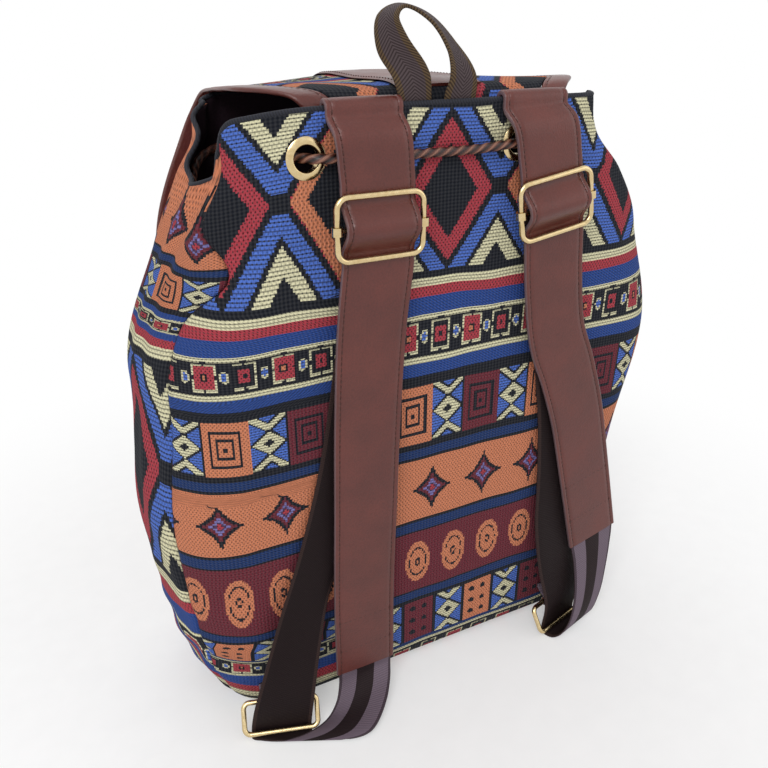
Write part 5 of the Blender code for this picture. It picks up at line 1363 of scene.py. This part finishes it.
def flap_half_width(reach):
    """Half the flap's width: narrow in the seam, wider over the mouth and widest down the front."""
    front = flap_reach[-1] - (BODY_HEIGHT - FLAP_END_HEIGHT)
    drop = flap_reach[-1] - front
    flare = 0.8 * FLAP_FRONT_HALF_WIDTH + 0.2 * FLAP_TOP_HALF_WIDTH
    stations = [
        (SEAM_DEPTH, FLAP_SEAM_HALF_WIDTH),
        (SEAM_DEPTH + 5 * FLAP_RISE, FLAP_TOP_HALF_WIDTH),
        (front, FLAP_TOP_HALF_WIDTH + 1 * MM),
        (front + 0.45 * drop, flare),
        (front + 0.66 * drop, FLAP_FRONT_HALF_WIDTH),
    ]
    return smooth_value(stations, reach)


def flap_edge(inset):
    """The flap's left edge drawn in by an inset, as (distance along, half width) from seam to foot."""
    turn_start = flap_reach[-1] - FLAP_CORNER_RADIUS
    edge = [(reach, flap_half_width(reach) - inset) for reach in flap_reach if reach < turn_start - 2 * MM]
    hub = flap_half_width(turn_start) - FLAP_CORNER_RADIUS
    radius = FLAP_CORNER_RADIUS - inset
    for step in range(13):
        angle = math.pi / 2 * step / 12
        edge.append((turn_start + radius * math.sin(angle), hub + radius * math.cos(angle)))
    return edge


def flap_wave(reach, x):
    """The soft rise and fall of the whole flap, nothing at its seam and its snap."""
    free = min(1.0, max(0.0, (reach - 0.02) / 0.05)) * min(1.0, abs(x) / 0.05 + 0.2)
    return free * (1.1 * MM * noise.noise(Vector((x * 14, reach * 16, 4.0))) + 0.5 * MM * math.sin(x * 55 + reach * 12))


def flap_spot(reach, x, off):
    """A point on the waved flap, which is drawn in and sags at its sides over the mouth."""
    over_mouth = math.exp(-((reach - 0.12) / 0.045) ** 2) * min(1.0, (abs(x) / 0.09) ** 2)
    spot = flap_point(reach, x, off + flap_wave(reach, x))
    return spot + Vector((-math.copysign(0.009, x) * over_mouth, 0.0, -0.006 * over_mouth))


FLAP_THREADS_START = 318.0
half_flap = FLAP_THICKNESS / 2
fabric_edge = flap_edge(BORDER_WIDTH + 2 * GAP)
points, threads = [], []
for reach, half in fabric_edge:
    xs = [half * (-1 + 2 * k / 48) for k in range(49)]
    points.append([flap_spot(reach, x, half_flap) for x in xs])
    threads.append([(x / MM, FLAP_THREADS_START + reach / MM) for x in xs])
flap_cloth = surface_mesh("flap_cloth", points, threads, (canvas, lining_cloth))
flap_cloth = thicken(flap_cloth, FLAP_THICKNESS)
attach(flap_cloth, "bag")
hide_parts("flap")


def edged_strip(name, outer, inner, lower, upper, look):
    """A flat leather strip with rolled edges between two lines of (distance along, x) places on the flap."""
    rolled = (
        (0.0, 0.0), (0.02, -0.6), (0.06, -0.9), (0.12, -1.0), (0.5, -1.0), (0.9, -1.0), (0.97, -0.8), (1.0, 0.0),
        (0.98, 0.8), (0.93, 1.0), (0.86, 1.0), (0.83, 0.75), (0.80, 1.0), (0.5, 1.05), (0.16, 1.0), (0.07, 0.85),
        (0.02, 0.5),
    )
    middle_off, half_off = (lower + upper) / 2, (upper - lower) / 2
    vertices, places = [], []
    run = 0.0
    for k, ((ro, xo), (ri, xi)) in enumerate(zip(outer, inner)):
        run += math.dist(outer[k], outer[k - 1]) / MM if k else 0.0
        for t, level_out in rolled:
            reach, x = ro + (ri - ro) * t, xo + (xi - xo) * t
            vertices.append(tuple(flap_spot(reach, x, middle_off + half_off * level_out)))
            places += [t * BORDER_WIDTH / MM, run, level_out]
    return new_piece(name, vertices, ring_faces(len(outer), len(rolled)), [look], places, sharp=70)


half_outer = flap_edge(0.0)
half_inner = flap_edge(BORDER_WIDTH)
outer_line = [(reach, -half) for reach, half in half_outer]
inner_line = [(reach, -half) for reach, half in half_inner]
for k in range(1, 12):
    share = -1 + 2 * k / 12
    outer_line.append((half_outer[-1][0], half_outer[-1][1] * share))
    inner_line.append((half_inner[-1][0], half_inner[-1][1] * share))
outer_line += [(reach, half) for reach, half in reversed(half_outer)]
inner_line += [(reach, half) for reach, half in reversed(half_inner)]
border = edged_strip("flap_border_roll", outer_line, inner_line, -half_flap, half_flap, leather)
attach(border, "bag")
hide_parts("flap_border")
seam_line = []
for (ro, xo), (ri, xi) in zip(outer_line, inner_line):
    seam_line.append(flap_spot(ro + 0.83 * (ri - ro), xo + 0.83 * (xi - xo), half_flap - 0.15 * MM))
strap_reaches = [reach for reach in flap_reach if SEAM_DEPTH + FLAP_RISE < reach < flap_reach[-1] - 1 * MM]
centre_half = CENTRE_STRAP_WIDTH / 2
centre_low = half_flap + GAP
left_line = [(reach, -centre_half) for reach in strap_reaches]
right_line = [(reach, centre_half) for reach in strap_reaches]
flap_leather = edged_strip(
    "flap_strap_cover", left_line, right_line, centre_low, centre_low + CENTRE_STRAP_THICKNESS, leather
)
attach(flap_leather, "bag")
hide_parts("flap_strap")
stitch_lines = [seam_line]
for sign in (-1, 1):
    x = sign * (centre_half - 3.0 * MM)
    stitch_lines.append([flap_spot(r, x, centre_low + CENTRE_STRAP_THICKNESS) for r in strap_reaches[1:-1]])
stitched("flap_stitches", stitch_lines, "bag")
for node in ("snap_front_half", "snap_flap_half"):
    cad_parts[node].material_slots[0].material = brass

# Cord lock and drawstring
# A moulded spring lock clamps the twisted satin cord, which runs inside the rim from knot to knot and
# comes out across the back between two eyelets.
CORD_DIAMETER = 5.0 * MM
FRONT_EYELET_X = EYELET_SPOTS["front"][1]
BACK_EYELET_X = EYELET_SPOTS["back"]
LOCK_WALL = 1.4 * MM
LOCK_BORE_ROOM = 0.8 * MM
LOCK_CORD_SPACING = 8.0 * MM
KNOT_DIAMETER = 9.0 * MM
CORD_INSET = 10.0 * MM
cord_radius = CORD_DIAMETER / 2
bore = CORD_DIAMETER + LOCK_BORE_ROOM
plunger_depth = bore + 2 * MM
lock_depth = plunger_depth + 2 * GAP + 2 * LOCK_WALL
wall_at_lock = wall_frame("front", 0.0, lock_z + LOCK_HEIGHT / 2)[0].y
wall_below = wall_frame("front", 0.0, lock_z - LOCK_HEIGHT / 2)[0].y
lock_centre = Vector((0.0, max(wall_at_lock, wall_below) + GAP + lock_depth / 2, lock_z))
PASS_THROUGH = ((10.0, 5.1), (3.4, 3.3), (0.2, -1.0), (-3.0, -5.2), (-10.0, -7.5))
SIDE_SAGS = ((0.12, 0.45), (0.33, 0.9), (0.5, 1.0), (0.67, 0.9), (0.88, 0.45))
BACK_BOW = ((0.25, 3.1), (0.5, 3.0), (0.75, 3.1))


def eyelet_pass(panel, x, toward, inward):
    """Cord points through an eyelet; toward is the side that the outside run lies on."""
    spot, outward, _ = wall_frame(panel, x, EYELET_HEIGHT)
    steps = PASS_THROUGH if inward else tuple(reversed(PASS_THROUGH))
    return [spot + Vector((toward * along * MM, 0.0, 0.0)) + outward * (out * MM) for along, out in steps]


def inside_run(side):
    """Cord points along the inside of one side panel, from the back seam to the front seam."""
    drop = SIDE_DIP - 4 * MM
    return [wall_point(side, place, EYELET_HEIGHT - sag * drop, CORD_INSET) for place, sag in SIDE_SAGS]


tail_x = LOCK_CORD_SPACING / 2
tail_end = lock_z - LOCK_HEIGHT / 2 - TAIL_LENGTH
tail_y = wall_frame("front", 0.0, tail_end - KNOT_DIAMETER)[0].y + GAP + KNOT_DIAMETER / 2
route = []
for sign, side in ((-1, "left"), (1, "right")):
    half = [
        Vector((sign * (tail_x + 5 * MM), tail_y, tail_end)),
        Vector((sign * (tail_x + 3.5 * MM), 0.5 * (tail_y + lock_centre.y), tail_end + 0.4 * TAIL_LENGTH)),
        Vector((sign * (tail_x + 0.4 * MM), lock_centre.y, lock_z - LOCK_HEIGHT / 2 - 3 * MM)),
        Vector((sign * tail_x, lock_centre.y, lock_z)),
        Vector((sign * (tail_x + 0.3 * MM), lock_centre.y, lock_z + LOCK_HEIGHT / 2 + 1 * MM)),
        Vector((sign * (tail_x + 7 * MM), lock_centre.y - 0.5 * MM, lock_z + LOCK_HEIGHT / 2 + 6.5 * MM)),
    ]
    half += eyelet_pass("front", sign * FRONT_EYELET_X, -sign, True)
    half.append(Vector((sign * 0.062, FRONT_RIM_DEPTH - 6.5 * MM, EYELET_HEIGHT - 1 * MM)))
    half += list(reversed(inside_run(side)))
    if sign < 0:
        half += eyelet_pass("back", BACK_EYELET_X[0], 1, False)
        route += half
        for share, out in BACK_BOW:
            x = BACK_EYELET_X[0] + share * (BACK_EYELET_X[1] - BACK_EYELET_X[0])
            route.append(Vector((x, -(BACK_DEPTH + out * MM), EYELET_HEIGHT - 1.5 * MM)))
    else:
        half.append(Vector((0.075, -(BACK_DEPTH - CLOTH - 3.6 * MM), EYELET_HEIGHT - 1 * MM)))
        half += eyelet_pass("back", BACK_EYELET_X[1], -1, False)
        route += list(reversed(half))
cord_path = smooth_curve(route, 24)

# Acetal plastic, injection moulded with a fine spark texture, so it is black with a soft grey shine.
plastic, tree, shader = new_material("black moulded acetal", 0.42)
spots = add_node(tree, "ShaderNodeTexCoord")["Object"]
spark = add_node(tree, "ShaderNodeTexNoise", {"Vector": spots, "Scale": 1600.0, "Detail": 1.0})[0]
tone = add_node(tree, "ShaderNodeMix", {0: spark, 6: linear("#141416"), 7: linear("#232326")}, data_type="RGBA")[2]
tree.links.new(tone, shader.inputs["Base Color"])
bump = add_node(tree, "ShaderNodeBump", {"Strength": 0.12, "Distance": 0.0001, "Height": spark})[0]
tree.links.new(bump, shader.inputs["Normal"])
for node in ("cord_lock_body", "cord_lock_button"):
    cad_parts[node].material_slots[0].material = plastic

# Satin rayon cord of three strands. Its colour holds painted light: a painted highlight along each strand's crown and
# painted shade where it dips.
satin, tree, shader = new_material("brown satin twisted cord", 0.38)
places = add_node(tree, "ShaderNodeAttribute", attribute_name="threads")["Vector"]
crown, along, round_place = add_node(tree, "ShaderNodeSeparateXYZ", {0: places})
yarns = add_node(tree, MATH, {0: along, 1: 0.9, 2: round_place}, operation="MULTIPLY_ADD")[0]
fibre = add_node(tree, MATH, {0: yarns, 1: 0.35}, operation="PINGPONG")[0]
# Painted highlight and shade: near black in the dips between strands, pale brown along each crown.
CROWN_HIGHLIGHT_DIP_SHADE_STOPS = [
    (0.0, linear("#180C0A")), (0.35, linear("#3C1E17")), (0.62, linear("#5A3126")), (0.88, linear("#8A5F4C")),
]
strand = add_node(tree, "ShaderNodeValToRGB", {0: crown}, CROWN_HIGHLIGHT_DIP_SHADE_STOPS)["Color"]
lift = add_node(tree, "ShaderNodeMapRange", {0: fibre, 1: 0.0, 2: 0.35, 3: 0.75, 4: 1.1})[0]
fibres_and_painted_crown_light = add_node(tree, "ShaderNodeVectorMath", {0: strand, 3: lift}, operation="SCALE")["Vector"]
tree.links.new(fibres_and_painted_crown_light, shader.inputs["Base Color"])
bump = add_node(tree, "ShaderNodeBump", {"Strength": 0.4, "Distance": 0.0003, "Height": fibre})[0]
tree.links.new(bump, shader.inputs["Normal"])
STRANDS = 3
STRAND_TURN = 21.0 * MM
CORD_SEGMENTS = 24


def twisted_cord(name, path, radius, look, closed=False):
    """A rope of twisted strands along a path, which knows how near each place is to a strand's crown."""
    count = len(path)
    vertices, values = [], []
    normal = Vector((0.0, 0.0, 1.0))
    run = 0.0
    for k, point in enumerate(path):
        ahead = path[(k + 1) % count] if closed else path[min(k + 1, count - 1)]
        behind = path[k - 1] if closed or k else path[0]
        flow = (ahead - behind).normalized()
        normal = (normal - flow * normal.dot(flow)).normalized()
        binormal = flow.cross(normal)
        run += (point - path[k - 1]).length if k else 0.0
        for s in range(CORD_SEGMENTS):
            angle = 2 * math.pi * s / CORD_SEGMENTS
            phase = STRANDS * (angle + 2 * math.pi * run / STRAND_TURN) / 2
            crown_share = abs(math.cos(phase))
            reach = radius * (0.80 + 0.22 * crown_share)
            vertices.append(tuple(point + (normal * math.cos(angle) + binormal * math.sin(angle)) * reach))
            values += [crown_share, run / MM, angle * radius / MM]
    return new_piece(name, vertices, ring_faces(count, CORD_SEGMENTS, closed), [look], values)


cord = twisted_cord("drawstring_cord", cord_path, cord_radius, satin)
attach(cord, "bag")
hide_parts("drawstring")
KNOT_SCALE = 0.80 * MM
for hand, end in (("left", cord_path[0]), ("right", cord_path[-1])):
    hub = end - Vector((0.0, 0.0, KNOT_DIAMETER / 2 - 0.4 * MM))
    knot_path = []
    for k in range(90):
        t = 2 * math.pi * k / 90
        turn_x = math.sin(t) + 2 * math.sin(2 * t)
        turn_z = math.cos(t) - 2 * math.cos(2 * t)
        knot_path.append(hub + Vector((turn_x, -1.5 * math.sin(3 * t), turn_z)) * KNOT_SCALE)
    knot = twisted_cord("drawstring_knot_" + hand + "_turns", knot_path, 1.9 * MM, satin, closed=True)
    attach(knot, "bag")
    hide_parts("drawstring_knot_" + hand)

# Sections of the cloth pieces at sixty heights, which the loops work out and do not keep
# Each panel is cut to its widest girth and its full height, less the tapers at the neck and the foot.
# The lining adds its bottom, whose size is an estimate. The lining has a bottom as well, whose size
# is not worked out here.
for panel, sheet_piece in panels.items():
    for k in range(60):
        flat, corner, _, _, side, _ = section(FLAT_LOWER + (BODY_HEIGHT - FLAT_LOWER) * k / 59)
for k in range(60):
    flat, corner, _, _, side, _ = section(FLAT_LOWER + LINING_TOP * (BODY_HEIGHT - FLAT_LOWER) * k / 59)

# Stage
# A pale floor under soft studio light, with the camera where the photograph was taken.
camera_data = bpy.data.cameras.new("camera")
camera_data.lens = 35.6
camera_data.sensor_width = 36.0
camera = bpy.data.objects.new("camera", camera_data)
camera.location = (-0.218, -0.423, 0.422)
camera.rotation_euler = (math.radians(64.3), 0.0, math.radians(-26.7))
bpy.context.scene.collection.objects.link(camera)
bpy.context.scene.camera = camera
floor_look, tree, shader = new_material("pale studio paper", 0.9)
spots = add_node(tree, "ShaderNodeTexCoord")["Object"]
paper = add_node(tree, "ShaderNodeTexNoise", {"Vector": spots, "Scale": 60.0, "Detail": 2.0})[0]
tone = add_node(tree, "ShaderNodeMix", {0: paper, 6: linear("#F7F7F7"), 7: linear("#FFFFFF")}, data_type="RGBA")[2]
tree.links.new(tone, shader.inputs["Base Color"])
shader.inputs["Specular IOR Level"].default_value = 0.1
rays = add_node(tree, "ShaderNodeLightPath")
seen = add_node(tree, MATH, {0: rays["Is Camera Ray"], 1: rays["Is Glossy Ray"]}, operation="MAXIMUM")[0]
seen = add_node(tree, MATH, {0: seen, 1: rays["Is Transmission Ray"]}, operation="MAXIMUM")[0]
distance = add_node(tree, "ShaderNodeVectorMath", {0: spots}, operation="LENGTH")["Value"]
FADE_START, FADE_END = 0.22, 0.55
to_white = {0: distance, 1: FADE_START, 2: FADE_END, 3: 0.35, 4: 1.0}
fade = add_node(tree, "ShaderNodeMapRange", to_white, interpolation_type="SMOOTHSTEP")[0]
blend = add_node(tree, MATH, {0: seen, 1: fade}, operation="MULTIPLY")[0]
white = add_node(tree, "ShaderNodeEmission", {"Color": linear("#FFFFFF"), "Strength": 1.0})[0]
faded = add_node(tree, "ShaderNodeMixShader", {0: blend, 1: shader.outputs[0], 2: white})[0]
tree.links.new(faded, tree.nodes["Material Output"].inputs["Surface"])
FLOOR_REACH = 4.0
floor_mesh = bpy.data.meshes.new("floor")
floor_mesh.from_pydata(
    [(x * FLOOR_REACH, y * FLOOR_REACH, 0.0) for x, y in ((-1, -1), (1, -1), (1, 1), (-1, 1))], [], [(0, 1, 2, 3)]
)
floor_mesh.materials.append(floor_look)
floor = bpy.data.objects.new("floor", floor_mesh)
bpy.context.scene.collection.objects.link(floor)
LAMPS = (
    ("key", (-1.3, -1.5, 1.9), 1.3, 30.0),
    ("fill", (1.7, -1.2, 1.0), 1.6, 6.0),
    ("top", (0.1, 0.9, 2.2), 1.6, 9.0),
)
for name, spot, size, power in LAMPS:
    lamp_data = bpy.data.lights.new(name, "AREA")
    lamp_data.energy = power
    lamp_data.size = size
    lamp = bpy.data.objects.new(name, lamp_data)
    lamp.location = spot
    lamp.rotation_euler = (Vector((0.0, 0.0, 0.2)) - Vector(spot)).to_track_quat("-Z", "Y").to_euler()
    bpy.context.scene.collection.objects.link(lamp)
world = bpy.data.worlds.new("studio")
bpy.context.scene.world = world
world.use_nodes = True
tree = world.node_tree
tree.nodes.clear()
rays = add_node(tree, "ShaderNodeLightPath")
seen = add_node(tree, MATH, {0: rays["Is Camera Ray"], 1: rays["Is Glossy Ray"]}, operation="MAXIMUM")[0]
seen = add_node(tree, MATH, {0: seen, 1: rays["Is Transmission Ray"]}, operation="MAXIMUM")[0]
light = add_node(tree, "ShaderNodeBackground", {"Color": linear("#FFFFFF"), "Strength": 0.55})[0]
shown = add_node(tree, "ShaderNodeBackground", {"Color": linear("#FFFFFF"), "Strength": 1.0})[0]
mixed = add_node(tree, "ShaderNodeMixShader", {0: seen, 1: light, 2: shown})[0]
add_node(tree, "ShaderNodeOutputWorld", {"Surface": mixed})
bpy.context.scene.view_settings.view_transform = "Standard"
